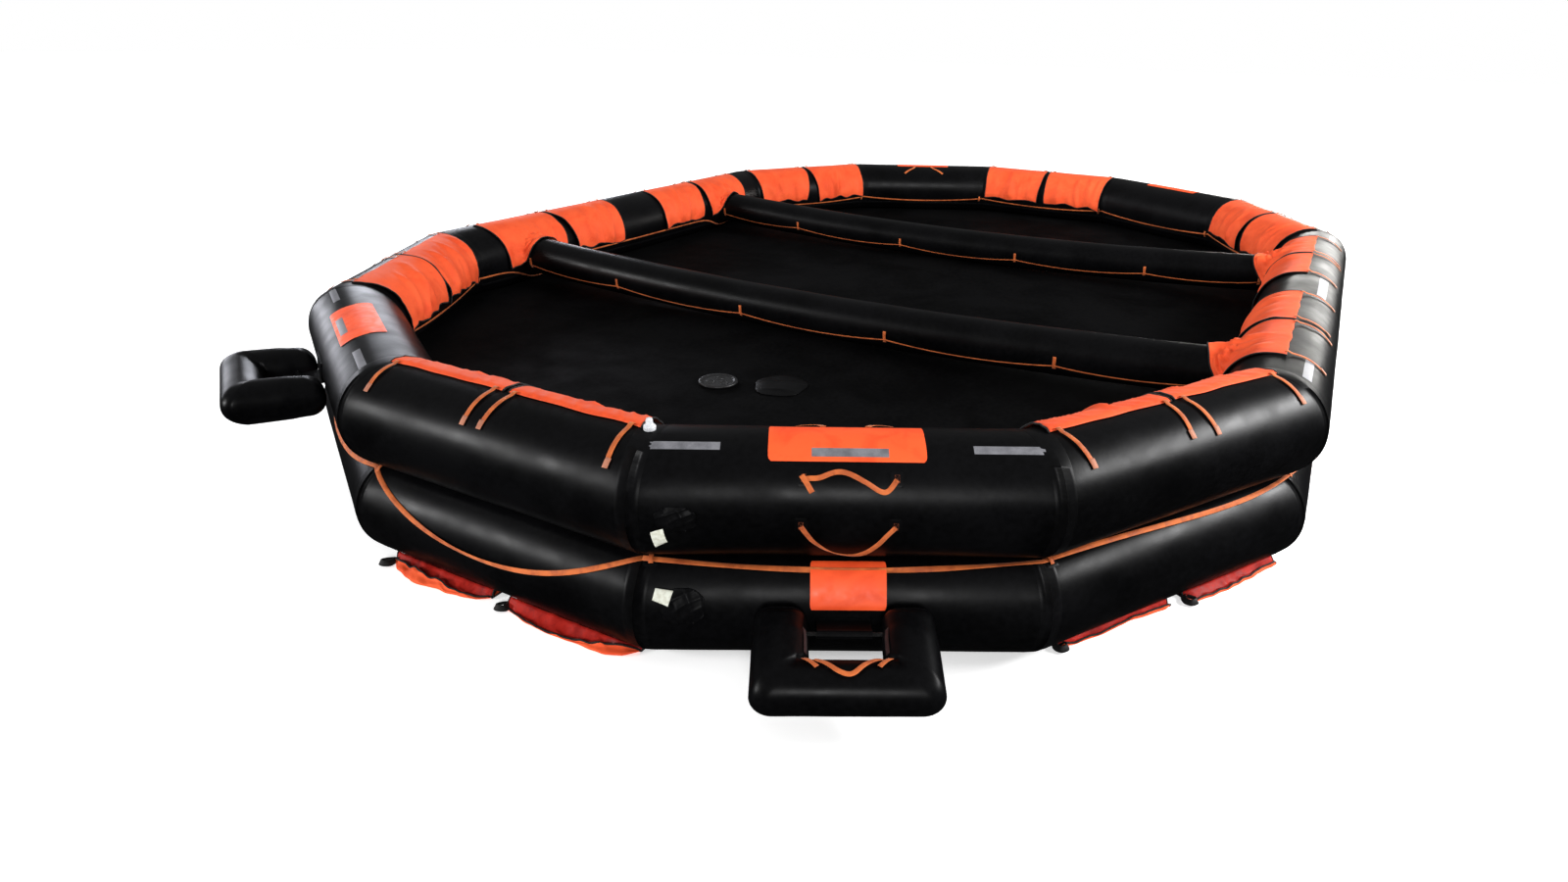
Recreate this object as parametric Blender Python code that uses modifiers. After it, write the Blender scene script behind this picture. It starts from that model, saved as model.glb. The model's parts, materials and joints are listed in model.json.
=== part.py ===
"""Open reversible inflatable life raft for about a hundred people, standing on a floor.

Units are metres. +X runs along the two long sides and +Z is up. The origin is on the floor under
the middle of the raft. The twelve sides are numbered counter-clockwise from above: 3 and 9 are the
long ones, 1, 5, 7 and 11 are the bare ones with a boarding ramp, and the other eight carry pockets.
"""

import math

import bmesh
import bpy
from mathutils import Matrix, Vector

# The ring of two tubes
SIDE = 1.58  # a short side, along the tube's centre line
EXTRA = 2.62  # what a long side has beyond a short one
TUBE_R = 0.27
SIDES = 12
FACETS = 24  # round each tube
TUBE_SPACING = 0.475  # between the two centre lines: the tubes press flat where they meet
TURN = 360 / SIDES
HALF_TURN = math.radians(TURN / 2)
FACET = 360 / FACETS
CORNER_R = SIDE / (2 * math.sin(HALF_TURN))
FIRST_CORNER = 195  # direction of the corner where side 1 starts, in degrees
FIRST_SIDE = -60  # direction in which side 1 runs, in degrees
LONG_SIDES = (3, 9)
RAMP_SIDES = (1, 5, 7, 11)
POCKET_SIDES = (2, 4, 6, 8, 10, 12)

# Gap between pieces that touch
GAP = 0.0003

# Heights
FLOOR_T = 0.006
LOWER_Z = TUBE_R * math.cos(math.radians(FACET))  # the lowest facet lies on the ground
UPPER_Z = LOWER_Z + TUBE_SPACING
MID_Z = (LOWER_Z + UPPER_Z) / 2
FLOOR_TOP = MID_Z + FLOOR_T / 2

# Thwarts across the cockpit
THWART_X = 1.40
THWART_R = 0.147
THWART_RISE = 0.098  # of its ends above its middle
THWART_BEVEL = 8  # for twenty facets
THWART_HALF = 2.82  # before its ends are cut to the tube
THWART_SPANS = 12
THWART_LINE_R = 0.005
THWART_LINE_ANGLE = 198  # degrees round the thwart, from +X through the top, where the line is held
THWART_LINE_SAG = 12  # degrees lower halfway between two holds

# Boarding ramps, hinged low at one pair of ends and high at the other, for either way up
LOW_RAMPS = (1, 7)
HIGH_RAMPS = (5, 11)
HINGE_ANGLE = 5  # degrees up from outward on the lower tube, and as much down on the upper one
LOW_TILT = -13  # degrees that the arms point up at rest
HIGH_TILT = 2.8
ARM_R = 0.106
ARM_BEVEL = 6
ARM_FACETS = 16
ARM_APART = 0.263  # from the ramp's middle to an arm's centre line
RAMP_REACH = 0.26  # from the hinge to the end bar's centre line
RAMP_CORNER = 0.09
RAMP_CLEARANCE = 0.006
HINGE_R = TUBE_R + RAMP_CLEARANCE + ARM_R  # from the tube's centre line to the hinge
LACE_R = 0.010  # the lacing line on which the ramp turns
EYE_CLEARANCE = 0.0008
EYE_WALL = 0.007
TAB_T = 0.008
TAB_HALF = 0.11
TAB_LOW = -22  # degrees round the tube from the hinge, where a low ramp's tab starts and ends
TAB_HIGH = 1

# Fabric and webbing
POCKET_T = 0.008
POCKET_HALF = 0.75
POCKET_SPLIT = 0.04
STRAP_W = 0.035
STRAP_END = 0.705
POCKET_STRAP_ROWS = (45, 60, 75)  # degrees above outward, down the tie straps
POCKET_HEM = 82
POCKET_ROWS = (90, 105, 120, 135, 150, 165, 180, 187)
LONG_PAIR = 1.05  # from the middle of a long side to the middle of each pair of pockets
LABEL_T = 0.002
LABEL_HALF = 0.31
LABEL_ANGLES = (50, 104)
FLAP_T = 0.0025
FLAP_HALF = 0.155
FLAP_ANGLES = (18, 57)
HIGH_FLAP_ANGLES = (-57, -18)
FLAP_LIFT = 0.0092  # it hangs over the outer lifeline
COVER_T = 0.012
UPPER_COVER = (-0.74, -0.60, -6, 14)  # from and to along the side, then in degrees
LOWER_COVER = (-0.74, -0.575, 1, 32)
LINE_W = 0.034
LINE_T = 0.003
HANDLE_W = 0.026
HANDLE_T = 0.003
OUTER_STEPS = (16, 16)  # along the outer lifeline, for a short and a long side
INNER_STEPS = (6, 40)
LINE_CLEARANCE = 0.0033  # so that its straight steps clear the round tube
OUTER_LINE_ANGLE = 53  # degrees above outward, at each corner
OUTER_SAGS = (1, 1, 14, 22, 20, 24, 1, 1, 14, 22, 20, 44)  # degrees it hangs on sides 1 to 12
INNER_LINE_ANGLE = 196
INNER_SAG = 7
THWART_DIP = 27
THWART_DIP_REACH = 0.25

# The lower pockets as they lie squashed on the ground: where along, how far out and how high
LOWER_POCKET_STATIONS = (
    (0.03, 0.16, 0.014),
    (0.10, 0.25, 0.034),
    (0.42, 0.262, 0.050),
    (0.73, 0.24, 0.036),
    (0.77, 0.15, 0.016),
)
LOWER_POCKET_ROUND = 0.012  # how far its rolled edge stands back at the ground
LOWER_POCKET_BULGE = 0.45  # share of its height at which it reaches farthest out
LOWER_POCKET_DIP = (0.35, 0.4)  # its dip beside the tube, as shares outward and up
LOWER_POCKET_CLEARANCE = 0.002  # to the lower tube above it

# Routes of the handles: where along, degrees above outward, and how far they stand off
OVER_HANDLE = (
    (-0.185, 37, 0), (-0.15, 38, 0.002), (-0.08, 41, 0.014), (0.0, 37, 0.018),
    (0.08, 27, 0.014), (0.15, 33.5, 0.002), (0.185, 34, 0),
)
UNDER_HANDLE = (
    (-0.18, -6, 0), (-0.15, -16, 0.004), (-0.08, -34, 0.014), (0.0, -43, 0.018),
    (0.08, -35, 0.014), (0.15, -16, 0.004), (0.18, -7, 0),
)
RAMP_HANDLE = (
    (-0.138, 124, 0), (-0.115, 124, 0), (-0.06, 106, 0.012), (0.0, 98, 0.014),
    (0.06, 106, 0.012), (0.115, 124, 0), (0.138, 124, 0),
)

# What lies on the floor of the front compartment
DRAIN_AT = (-2.556, 0.073)
DRAIN_R = 0.12
DRAIN_H = 0.012
PATCH_AT = (-2.407, -0.290)
PATCH_R = 0.18
PATCH_H = 0.022

LIGHT_R = 0.026
LIGHT_H = 0.055
LIGHT_PROFILE = ((0, 1), (0.45, 0.93), (0.7, 0.45), (1, 0.4), (1, 0), (0, 0))  # shares of the two above

UP = Vector((0, 0, 1))


def clear_scene():
    for obj in list(bpy.data.objects):
        bpy.data.objects.remove(obj, do_unlink=True)


def new_collection(name, hidden=False):
    made = bpy.data.collections.new(name)
    made.hide_render = hidden
    bpy.context.scene.collection.children.link(made)
    return made


def new_material(name, colour, roughness, metallic=0.0):
    made = bpy.data.materials.new(name)
    made.use_nodes = True
    shader = made.node_tree.nodes["Principled BSDF"]
    shader.inputs["Base Color"].default_value = (*colour, 1)
    shader.inputs["Roughness"].default_value = roughness
    shader.inputs["Metallic"].default_value = metallic
    return made


clear_scene()
RAFT = new_collection("life_raft")
CUTTERS = new_collection("cutters", hidden=True)
BLACK = new_material("black coated fabric", (0.012, 0.012, 0.014), 0.38)
DARK = new_material("dark floor fabric", (0.01, 0.01, 0.011), 0.6)
ORANGE = new_material("orange fabric", (0.85, 0.11, 0.03), 0.75)
WEBBING = new_material("orange webbing", (0.60, 0.17, 0.04), 0.8)
LABEL = new_material("orange label", (0.88, 0.14, 0.04), 0.55)
WHITE = new_material("white lamp plastic", (0.8, 0.8, 0.8), 0.4)


def keep(obj, name, material, smooth=True):
    """Names the object, gives it its material and moves it into the raft's collection."""
    obj.name = name
    obj.data.name = name
    obj.data.materials.clear()
    obj.data.materials.append(material)
    for owner in list(obj.users_collection):
        owner.objects.unlink(obj)
    RAFT.objects.link(obj)
    if smooth and obj.type == "MESH":
        obj.data.shade_smooth()
        obj.data.set_sharp_from_angle(angle=math.radians(40))
    return obj


def object_from(bm, name, material, smooth=True):
    mesh = bpy.data.meshes.new(name)
    bm.to_mesh(mesh)
    bm.free()
    return keep(bpy.data.objects.new(name, mesh), name, material, smooth)


def as_mesh(curve_object):
    """The curve as a closed mesh object in the same place, with its caps welded on."""
    graph = bpy.context.evaluated_depsgraph_get()
    mesh = bpy.data.meshes.new_from_object(curve_object.evaluated_get(graph))
    bm = bmesh.new()
    bm.from_mesh(mesh)
    bmesh.ops.remove_doubles(bm, verts=bm.verts, dist=0.0001)
    bmesh.ops.recalc_face_normals(bm, faces=bm.faces)
    bm.to_mesh(mesh)
    bm.free()
    made = bpy.data.objects.new(curve_object.name, mesh)
    made.matrix_world = curve_object.matrix_world
    RAFT.objects.link(made)
    bpy.data.objects.remove(curve_object, do_unlink=True)
    return made


def poly_curve(name, points, depth, resolution, radii=None):
    curve = bpy.data.curves.new(name, "CURVE")
    curve.dimensions = "3D"
    curve.bevel_depth = depth
    curve.bevel_resolution = resolution
    curve.use_fill_caps = True
    spline = curve.splines.new("POLY")
    spline.points.add(len(points) - 1)
    for index, (point, place) in enumerate(zip(spline.points, points)):
        point.co = (*place, 1)
        point.radius = radii[index] if radii else 1
    made = bpy.data.objects.new(name, curve)
    RAFT.objects.link(made)
    return made


def flat_outline(name, outlines, half_thickness):
    """A flat plate in its own XY plane from closed outlines: the first is the edge, the rest are holes."""
    curve = bpy.data.curves.new(name, "CURVE")
    curve.dimensions = "2D"
    curve.fill_mode = "BOTH"
    curve.extrude = half_thickness
    for outline in outlines:
        spline = curve.splines.new("POLY")
        spline.points.add(len(outline) - 1)
        for point, (x, y) in zip(spline.points, outline):
            point.co = (x, y, 0, 1)
        spline.use_cyclic_u = True
    made = bpy.data.objects.new(name, curve)
    RAFT.objects.link(made)
    return made


def corner(number):
    """The corner of the centre line where a side starts."""
    angle = math.radians(FIRST_CORNER + TURN * (number - 1))
    x = CORNER_R * math.cos(angle)
    return Vector((x + math.copysign(EXTRA / 2, x), CORNER_R * math.sin(angle), 0))


class Tube:
    """A straight length of tube: where its middle is, and which ways are along and outward."""

    def __init__(self, middle, along, outward, length, radius, facets):
        self.middle = middle
        self.along = along
        self.outward = outward
        self.length = length
        self.radius = radius
        self.facet = 360 / facets

    def facet_radius(self, angle):
        """How far its flat facet is from the centre line at this angle."""
        half = self.facet / 2
        off = angle % self.facet - half
        return self.radius * math.cos(math.radians(half)) / math.cos(math.radians(off))

    def at(self, along, angle, distance):
        """The point at an angle in degrees above outward, at this distance from the centre line."""
        turn = math.radians(angle)
        across = self.outward * math.cos(turn) + UP * math.sin(turn)
        return self.middle + self.along * along + across * distance

    def spread(self, angle):
        """How much longer than its centre line the tube is at this angle, because of its mitred ends."""
        outward = self.radius * math.cos(math.radians(angle))
        return 1 + 2 * outward * math.tan(HALF_TURN) / self.length


def side_tube(number, height):
    start = corner(number)
    end = corner(number % SIDES + 1)
    run = math.radians(FIRST_SIDE + TURN * (number - 1))
    along = Vector((math.cos(run), math.sin(run), 0))
    outward = Vector((math.sin(run), -math.cos(run), 0))
    middle = (start + end) / 2 + UP * height
    return Tube(middle, along, outward, (end - start).length, TUBE_R, FACETS)


def ring(height, radius, lowest, highest):
    """A mitred ring from a torus of twelve sections, pressed flat at its lowest and highest."""
    bpy.ops.mesh.primitive_torus_add(
        major_segments=SIDES, minor_segments=FACETS, major_radius=CORNER_R, minor_radius=radius
    )
    made = bpy.context.object
    turned = Matrix.Rotation(HALF_TURN, 3, "Z")
    for vertex in made.data.vertices:
        place = vertex.co.copy()
        height_here = place.z + height
        place.z = 0
        out = CORNER_R + (place.length - CORNER_R) / math.cos(HALF_TURN)
        place = turned @ (place.normalized() * out)
        place.x += math.copysign(EXTRA / 2, place.x)
        place.z = min(max(height_here, lowest), highest)
        vertex.co = place
    return made


def sheet(name, columns, rows, wanted, place, thickness, material, closed=False):
    """A sheet of this thickness: a grid whose cells are kept where wanted, laid out by place."""
    bm = bmesh.new()
    across = len(columns) - 1
    up = len(rows) - 1
    bmesh.ops.create_grid(bm, x_segments=across, y_segments=up, size=1)
    unwanted = []
    for face in bm.faces:
        centre = face.calc_center_median()
        cell = (int((centre.x + 1) / 2 * across), int((centre.y + 1) / 2 * up))
        if not wanted(*cell):
            unwanted.append(face)
    bmesh.ops.delete(bm, geom=unwanted, context="FACES")
    for vertex in bm.verts:
        column = columns[round((vertex.co.x + 1) / 2 * across)]
        row = rows[round((vertex.co.y + 1) / 2 * up)]
        vertex.co = place(column, row)
    if closed:
        bmesh.ops.remove_doubles(bm, verts=bm.verts, dist=0.0001)
    made = object_from(bm, name, material)
    solid = made.modifiers.new("thickness", "SOLIDIFY")
    solid.thickness = thickness
    solid.offset = 0
    return made


def all_cells(column, row):
    return True


def rows_between(low, high):
    """The two angles, and each facet's edge between them."""
    first = math.floor(low / FACET) + 1
    last = math.ceil(high / FACET)
    return [low, *(FACET * step for step in range(first, last)), high]


def wrapped(name, tube, low_along, high_along, low, high, lift, thickness, material):
    """A rectangle of sheet that lies on a tube between two angles."""

    def place(along, angle):
        distance = tube.facet_radius(angle) + lift + thickness / 2
        return tube.at(along, angle, distance)

    columns = [low_along, high_along]
    return sheet(name, columns, rows_between(low, high), all_cells, place, thickness, material)


def band(name, tube, route, width, thickness, material):
    """A strap along a route of (along, angle, lift) on a tube, its width across the route.

    Where its lift is 0 it is sewn down, flat on one facet.
    """
    laid = [Vector((along, tube.radius * math.radians(angle))) for along, angle, _ in route]
    spots = []
    for index, here in enumerate(laid):
        before = laid[max(index - 1, 0)]
        after = laid[min(index + 1, len(laid) - 1)]
        run = (after - before).normalized()
        side = Vector((-run.y, run.x)) * width / 2
        spots.append((here - side, here + side, route[index][2]))

    def place(index, edge):
        low, high, lift = spots[index]
        spot = high if edge else low
        angle = math.degrees(spot.y / tube.radius)
        surface = tube.radius if lift else tube.facet_radius(angle)
        return tube.at(spot.x, angle, surface + GAP + lift + thickness / 2)

    return sheet(name, range(len(route)), (0, 1), all_cells, place, thickness, material)


def make_ring():
    lower_top = MID_Z - FLOOR_T / 2 - GAP
    upper_bottom = MID_Z + FLOOR_T / 2 + GAP
    keep(ring(LOWER_Z, TUBE_R, 0, lower_top), "lower_tube", BLACK)
    keep(ring(UPPER_Z, TUBE_R, upper_bottom, UPPER_Z + TUBE_R), "upper_tube", BLACK)
    outline = [corner(number).xy for number in range(1, SIDES + 1)]
    floor = flat_outline("floor", [outline], FLOOR_T / 2)
    floor.location.z = MID_Z
    keep(floor, "floor", DARK)


def thwart_height(y):
    return FLOOR_TOP + GAP + THWART_R + THWART_RISE * (y / THWART_HALF) ** 2


def make_thwarts():
    # The ends press on the pockets that lie between them and the tube, a gap clear of both.
    around = TUBE_R + GAP + POCKET_T + 2 * GAP
    cutter = ring(UPPER_Z, around, UPPER_Z - around, UPPER_Z + around)
    cutter.name = "tube_cutter"
    for owner in list(cutter.users_collection):
        owner.objects.unlink(cutter)
    CUTTERS.objects.link(cutter)
    cutter.hide_render = True
    cutter.display_type = "WIRE"
    for name, x in (("thwart_front", -THWART_X), ("thwart_rear", THWART_X)):
        points = []
        for step in range(THWART_SPANS + 1):
            y = THWART_HALF * (2 * step / THWART_SPANS - 1)
            points.append((x, y, thwart_height(y)))
        thwart = poly_curve(name, points, THWART_R, THWART_BEVEL)
        thwart = keep(as_mesh(thwart), name, BLACK)
        cut = thwart.modifiers.new("against the tube", "BOOLEAN")
        cut.object = cutter
        cut.operation = "DIFFERENCE"


def make_thwart_lines():
    """A line along the front of each thwart, held at six places and hanging a little between them."""
    span = 2 * THWART_HALF / THWART_SPANS
    per_span = 2
    first = per_span
    last = per_span * (THWART_SPANS - 1)
    away = THWART_R + GAP + THWART_LINE_R
    for name, x in (("thwart_line_front", -THWART_X), ("thwart_line_rear", THWART_X)):
        points = []
        for step in range(first, last + 1):
            y = span * step / per_span - THWART_HALF
            share = (step - first) % (2 * per_span) / (2 * per_span)
            turn = math.radians(THWART_LINE_ANGLE + THWART_LINE_SAG * 4 * share * (1 - share))
            points.append((x + away * math.cos(turn), y, thwart_height(y) + away * math.sin(turn)))
        line = poly_curve(name, points, THWART_LINE_R, 1)
        keep(as_mesh(line), name, WEBBING)


def pocket_columns():
    edges = (POCKET_HALF, STRAP_END, STRAP_END - STRAP_W, POCKET_SPLIT + STRAP_W, POCKET_SPLIT)
    return [-x for x in edges] + list(reversed(edges))


def make_upper_pockets(name, number, centre):
    """Two loose pockets draped from the tube's top over its inner side, with four tie straps outside."""
    tube = side_tube(number, UPPER_Z)
    straps = (1, 3, 5, 7)
    split = 4
    rows = [*POCKET_STRAP_ROWS, POCKET_HEM, *POCKET_ROWS]
    hem = rows.index(POCKET_HEM)

    def wanted(column, row):
        if row < hem:
            return column in straps
        return row == hem or column != split

    def place(along, angle):
        distance = tube.facet_radius(angle) + GAP + POCKET_T / 2
        return tube.at(centre + along * tube.spread(angle), angle, distance)

    sheet(name, pocket_columns(), rows, wanted, place, POCKET_T, ORANGE)


def make_lower_pockets(name, number, centre):
    """Two pockets of the other face, squashed out from under the lower tube onto the ground."""
    tube = side_tube(number, LOWER_Z)
    stations = [(-along, reach, height) for along, reach, height in reversed(LOWER_POCKET_STATIONS)]
    stations.extend(LOWER_POCKET_STATIONS)
    # The tube's lowest facet ends at the first edge, and the facet beside it at the second.
    clear = TUBE_R + GAP
    first_edge = clear * math.sin(math.radians(FACET))
    second_edge = clear * math.sin(math.radians(2 * FACET))
    second_up = LOWER_Z - clear * math.cos(math.radians(2 * FACET)) - LOWER_POCKET_CLEARANCE
    dip_out, dip_up = LOWER_POCKET_DIP
    bm = bmesh.new()
    loops = []
    for along, reach, height in stations:
        under = min(second_up, height)
        beyond = reach - second_edge
        section = (
            (first_edge + LOWER_POCKET_CLEARANCE, 0),
            (reach - LOWER_POCKET_ROUND, 0),
            (reach, height * LOWER_POCKET_BULGE),
            (reach - LOWER_POCKET_ROUND, height),
            (second_edge + beyond * dip_out, under + (height - under) * dip_up),
            (second_edge - 2 * LOWER_POCKET_CLEARANCE, under - LOWER_POCKET_CLEARANCE / 2),
        )
        loop = []
        for out, up in section:
            spot = tube.middle + tube.along * (centre + along) + tube.outward * out
            loop.append(bm.verts.new((spot.x, spot.y, up)))
        loops.append(loop)
    count = len(loops[0])
    for loop, following in zip(loops, loops[1:]):
        for index in range(count):
            after = (index + 1) % count
            bm.faces.new((loop[index], loop[after], following[after], following[index]))
    bm.faces.new(loops[0])
    bm.faces.new(loops[-1])
    bmesh.ops.recalc_face_normals(bm, faces=bm.faces)
    object_from(bm, name, ORANGE)


def make_pockets():
    places = [(str(number), number, 0) for number in POCKET_SIDES]
    for number in LONG_SIDES:
        places.append((f"{number}a", number, -LONG_PAIR))
        places.append((f"{number}b", number, LONG_PAIR))
    for tag, number, centre in places:
        make_upper_pockets(f"upper_pockets_{tag}", number, centre)
        make_lower_pockets(f"lower_pockets_{tag}", number, centre)


def lifeline(name, height, angle_at, side_steps):
    """A flat line all round a tube, at the angle that angle_at gives for a side and the share run."""
    stations = []
    for number in range(1, SIDES + 1):
        steps = side_steps[number in LONG_SIDES]
        stations.extend((number, step / steps) for step in range(steps))
    tubes = {number: side_tube(number, height) for number in range(1, SIDES + 1)}
    half_angle = math.degrees(LINE_W / 2 / TUBE_R)

    def place(station, edge):
        number, share = stations[station % len(stations)]
        tube = tubes[number]
        angle = angle_at(number, tube, share) + half_angle * edge
        reach = tube.length / 2 * tube.spread(angle)
        distance = TUBE_R + LINE_CLEARANCE + LINE_T / 2
        return tube.at(reach * (2 * share - 1), angle, distance)

    columns = range(len(stations) + 1)
    sheet(name, columns, (-1, 1), all_cells, place, LINE_T, WEBBING, closed=True)


def outer_line_angle(number, tube, share):
    return OUTER_LINE_ANGLE - OUTER_SAGS[number - 1] * 4 * share * (1 - share)


def inner_line_angle(number, tube, share):
    """It hangs a little on a short side, and on a long one it dips under each thwart."""
    if number not in LONG_SIDES:
        return INNER_LINE_ANGLE + INNER_SAG * 4 * share * (1 - share)
    from_thwart = abs(share - 0.5) * tube.length - THWART_X
    return INNER_LINE_ANGLE + THWART_DIP * math.exp(-((from_thwart / THWART_DIP_REACH) ** 2))


def make_lifelines():
    lifeline("outer_lifeline", LOWER_Z, outer_line_angle, OUTER_STEPS)
    lifeline("inner_lifeline", UPPER_Z, inner_line_angle, INNER_STEPS)


def make_side_fittings():
    """What each bare side carries: label, boarding flap and, where the ramp is low, two handles.

    The flap is on the tube that the ramp hangs on, over a low ramp and under a high one.
    """
    across = (-FLAP_HALF, FLAP_HALF)
    for number in RAMP_SIDES:
        upper = side_tube(number, UPPER_Z)
        wrapped(f"label_{number}", upper, -LABEL_HALF, LABEL_HALF, *LABEL_ANGLES, GAP, LABEL_T, LABEL)
    for number in HIGH_RAMPS:
        upper = side_tube(number, UPPER_Z)
        wrapped(f"boarding_flap_{number}", upper, *across, *HIGH_FLAP_ANGLES, GAP, FLAP_T, LABEL)
    for number in LOW_RAMPS:
        upper = side_tube(number, UPPER_Z)
        lower = side_tube(number, LOWER_Z)
        wrapped(f"boarding_flap_{number}", lower, *across, *FLAP_ANGLES, FLAP_LIFT, FLAP_T, LABEL)
        band(f"handle_over_{number}", upper, OVER_HANDLE, HANDLE_W, HANDLE_T, WEBBING)
        band(f"handle_under_{number}", upper, UNDER_HANDLE, HANDLE_W, HANDLE_T, WEBBING)
    wrapped("valve_cover_upper", side_tube(1, UPPER_Z), *UPPER_COVER, GAP, COVER_T, BLACK)
    wrapped("valve_cover_lower", side_tube(1, LOWER_Z), *LOWER_COVER, GAP, COVER_T, BLACK)


def ramp_matrix(hinge, tube, tilt):
    """Local X is the hinge's axis, Y runs along the arms, and a positive turn about X lifts the ramp."""
    turn = math.radians(tilt)
    axis = -tube.along
    arms = tube.outward * math.cos(turn) + UP * math.sin(turn)
    lift = axis.cross(arms)
    placed = Matrix((axis, arms, lift)).transposed().to_4x4()
    placed.translation = hinge
    return placed


def ramp_route():
    """Centre line and relative thickness of the bent tube, from one domed end round to the other."""
    half = []
    for angle in (80, 60, 30):
        back = -ARM_R * math.sin(math.radians(angle))
        half.append((-ARM_APART, back, 0, math.cos(math.radians(angle))))
    half.append((-ARM_APART, 0, 0, 1))
    bends = 4
    for step in range(bends + 1):
        angle = math.radians(90 * step / bends)
        x = -ARM_APART + RAMP_CORNER * (1 - math.cos(angle))
        y = RAMP_REACH - RAMP_CORNER * (1 - math.sin(angle))
        half.append((x, y, 0, 1))
    return half + [(-x, y, z, size) for x, y, z, size in reversed(half)]


def make_ramp(number, height, tilt, side):
    """The side is 1 for a low ramp, and -1 for a high one, which is built the other way up."""
    tube = side_tube(number, height)
    hinge = tube.at(0, side * HINGE_ANGLE, HINGE_R)
    route = ramp_route()
    points = [spot[:3] for spot in route]
    sizes = [spot[3] for spot in route]
    ramp = poly_curve(f"ramp_{number}", points, ARM_R, ARM_BEVEL, sizes)
    ramp = keep(as_mesh(ramp), f"ramp_{number}", BLACK)
    lace = poly_curve("lace", [(-ARM_APART, 0, 0), (ARM_APART, 0, 0)], LACE_R, 2)
    lace = as_mesh(lace)
    RAFT.objects.unlink(lace)
    CUTTERS.objects.link(lace)
    lace.hide_render = True
    lace.display_type = "WIRE"
    join = ramp.modifiers.new("lacing line", "BOOLEAN")
    join.operation = "UNION"
    join.object = lace
    placed = ramp_matrix(hinge, tube, tilt)
    ramp.matrix_world = placed
    lace.matrix_world = placed

    middle = Vector((0, RAMP_REACH, 0))
    bar = Tube(middle, Vector((-1, 0, 0)), Vector((0, 1, 0)), 2 * ARM_APART, ARM_R, ARM_FACETS)
    route = [(along, side * angle, lift) for along, angle, lift in RAMP_HANDLE]
    grip = band(f"ramp_handle_{number}", bar, route, HANDLE_W, HANDLE_T, WEBBING)
    grip.parent = ramp

    make_hinge_tab(number, tube, side)


def make_hinge_tab(number, tube, side):
    """A fabric tab on the tube with an eye for the ramp's lacing line, extruded along the side."""
    eye_inner = LACE_R + EYE_CLEARANCE
    eye_outer = eye_inner + EYE_WALL
    web_half = TAB_T / 2
    base = []
    back = []
    for angle in rows_between(TAB_LOW + HINGE_ANGLE, TAB_HIGH + HINGE_ANGLE):
        turn = math.radians(angle - HINGE_ANGLE)
        distance = tube.facet_radius(angle) + GAP
        base.append((distance * math.cos(turn), distance * math.sin(turn)))
        distance += TAB_T
        back.append((distance * math.cos(turn), distance * math.sin(turn)))
    meets = math.asin(web_half / eye_outer)
    arc = []
    turns = 12
    for step in range(turns + 1):
        angle = math.pi - meets - (2 * math.pi - 2 * meets) * step / turns
        arc.append((HINGE_R + eye_outer * math.cos(angle), eye_outer * math.sin(angle)))
    root = tube.facet_radius(HINGE_ANGLE) + GAP + TAB_T
    outline = [*base, back[-1], (root, web_half), *arc, (root, -web_half), *reversed(back[:-1])]
    hole = []
    for step in range(turns):
        angle = 2 * math.pi * step / turns
        wide = eye_inner / math.cos(math.pi / turns)
        hole.append((HINGE_R + wide * math.cos(angle), wide * math.sin(angle)))
    tab = flat_outline("tab", [outline, hole], TAB_HALF)
    turn = math.radians(HINGE_ANGLE)
    out = tube.outward * math.cos(turn) + UP * side * math.sin(turn)
    rise = UP * side * math.cos(turn) - tube.outward * math.sin(turn)
    placed = Matrix((out, rise, out.cross(rise))).transposed().to_4x4()
    placed.translation = tube.middle
    tab.matrix_world = placed
    keep(as_mesh(tab), f"hinge_tab_{number}", BLACK, smooth=False)


def make_ramps():
    for number in LOW_RAMPS:
        make_ramp(number, LOWER_Z, LOW_TILT, 1)
    for number in HIGH_RAMPS:
        make_ramp(number, UPPER_Z, HIGH_TILT, -1)


def turned(name, profile, steps, place, material):
    """A piece turned about its own Z axis from a profile of (radius, height), outer side running down."""
    mesh = bpy.data.meshes.new(name)
    bm = bmesh.new()
    spots = [bm.verts.new((radius, 0, height)) for radius, height in profile]
    for first, second in zip(spots, spots[1:]):
        bm.edges.new((first, second))
    if profile[0][0] > 0:
        bm.edges.new((spots[-1], spots[0]))
    bm.to_mesh(mesh)
    bm.free()
    made = keep(bpy.data.objects.new(name, mesh), name, material)
    made.location = place
    screw = made.modifiers.new("turn", "SCREW")
    screw.steps = steps
    screw.render_steps = steps
    screw.use_merge_vertices = True
    screw.merge_threshold = 0.0001
    return made


def make_floor_fittings():
    low = FLOOR_TOP + GAP
    shoulder = DRAIN_H * 0.6
    ring_profile = [
        (DRAIN_R - DRAIN_H, DRAIN_H), (DRAIN_R, shoulder), (DRAIN_R, 0),
        (DRAIN_R - 2 * DRAIN_H, 0), (DRAIN_R - 2 * DRAIN_H, shoulder),
    ]
    turned("floor_drain", ring_profile, 24, (*DRAIN_AT, low), DARK)
    dome = []
    for angle in (90, 60, 30, 0):
        turn = math.radians(angle)
        dome.append((PATCH_R * math.cos(turn) if angle < 90 else 0, PATCH_H * math.sin(turn)))
    dome.append((0, 0))
    turned("floor_patch", dome, 24, (*PATCH_AT, low), DARK)


def make_light():
    """The small lamp that stands on the upper tube where sides 12 and 1 meet."""
    profile = [(LIGHT_R * out, LIGHT_H * up) for out, up in LIGHT_PROFILE]
    turned("light", profile, 16, corner(1) + UP * (UPPER_Z + TUBE_R + GAP), WHITE)


make_ring()
make_thwarts()
make_thwart_lines()
make_pockets()
make_lifelines()
make_side_fittings()
make_ramps()
make_floor_fittings()
make_light()
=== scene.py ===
import json
import math

import bpy
import numpy as np
from mathutils import Matrix, Vector


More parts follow.
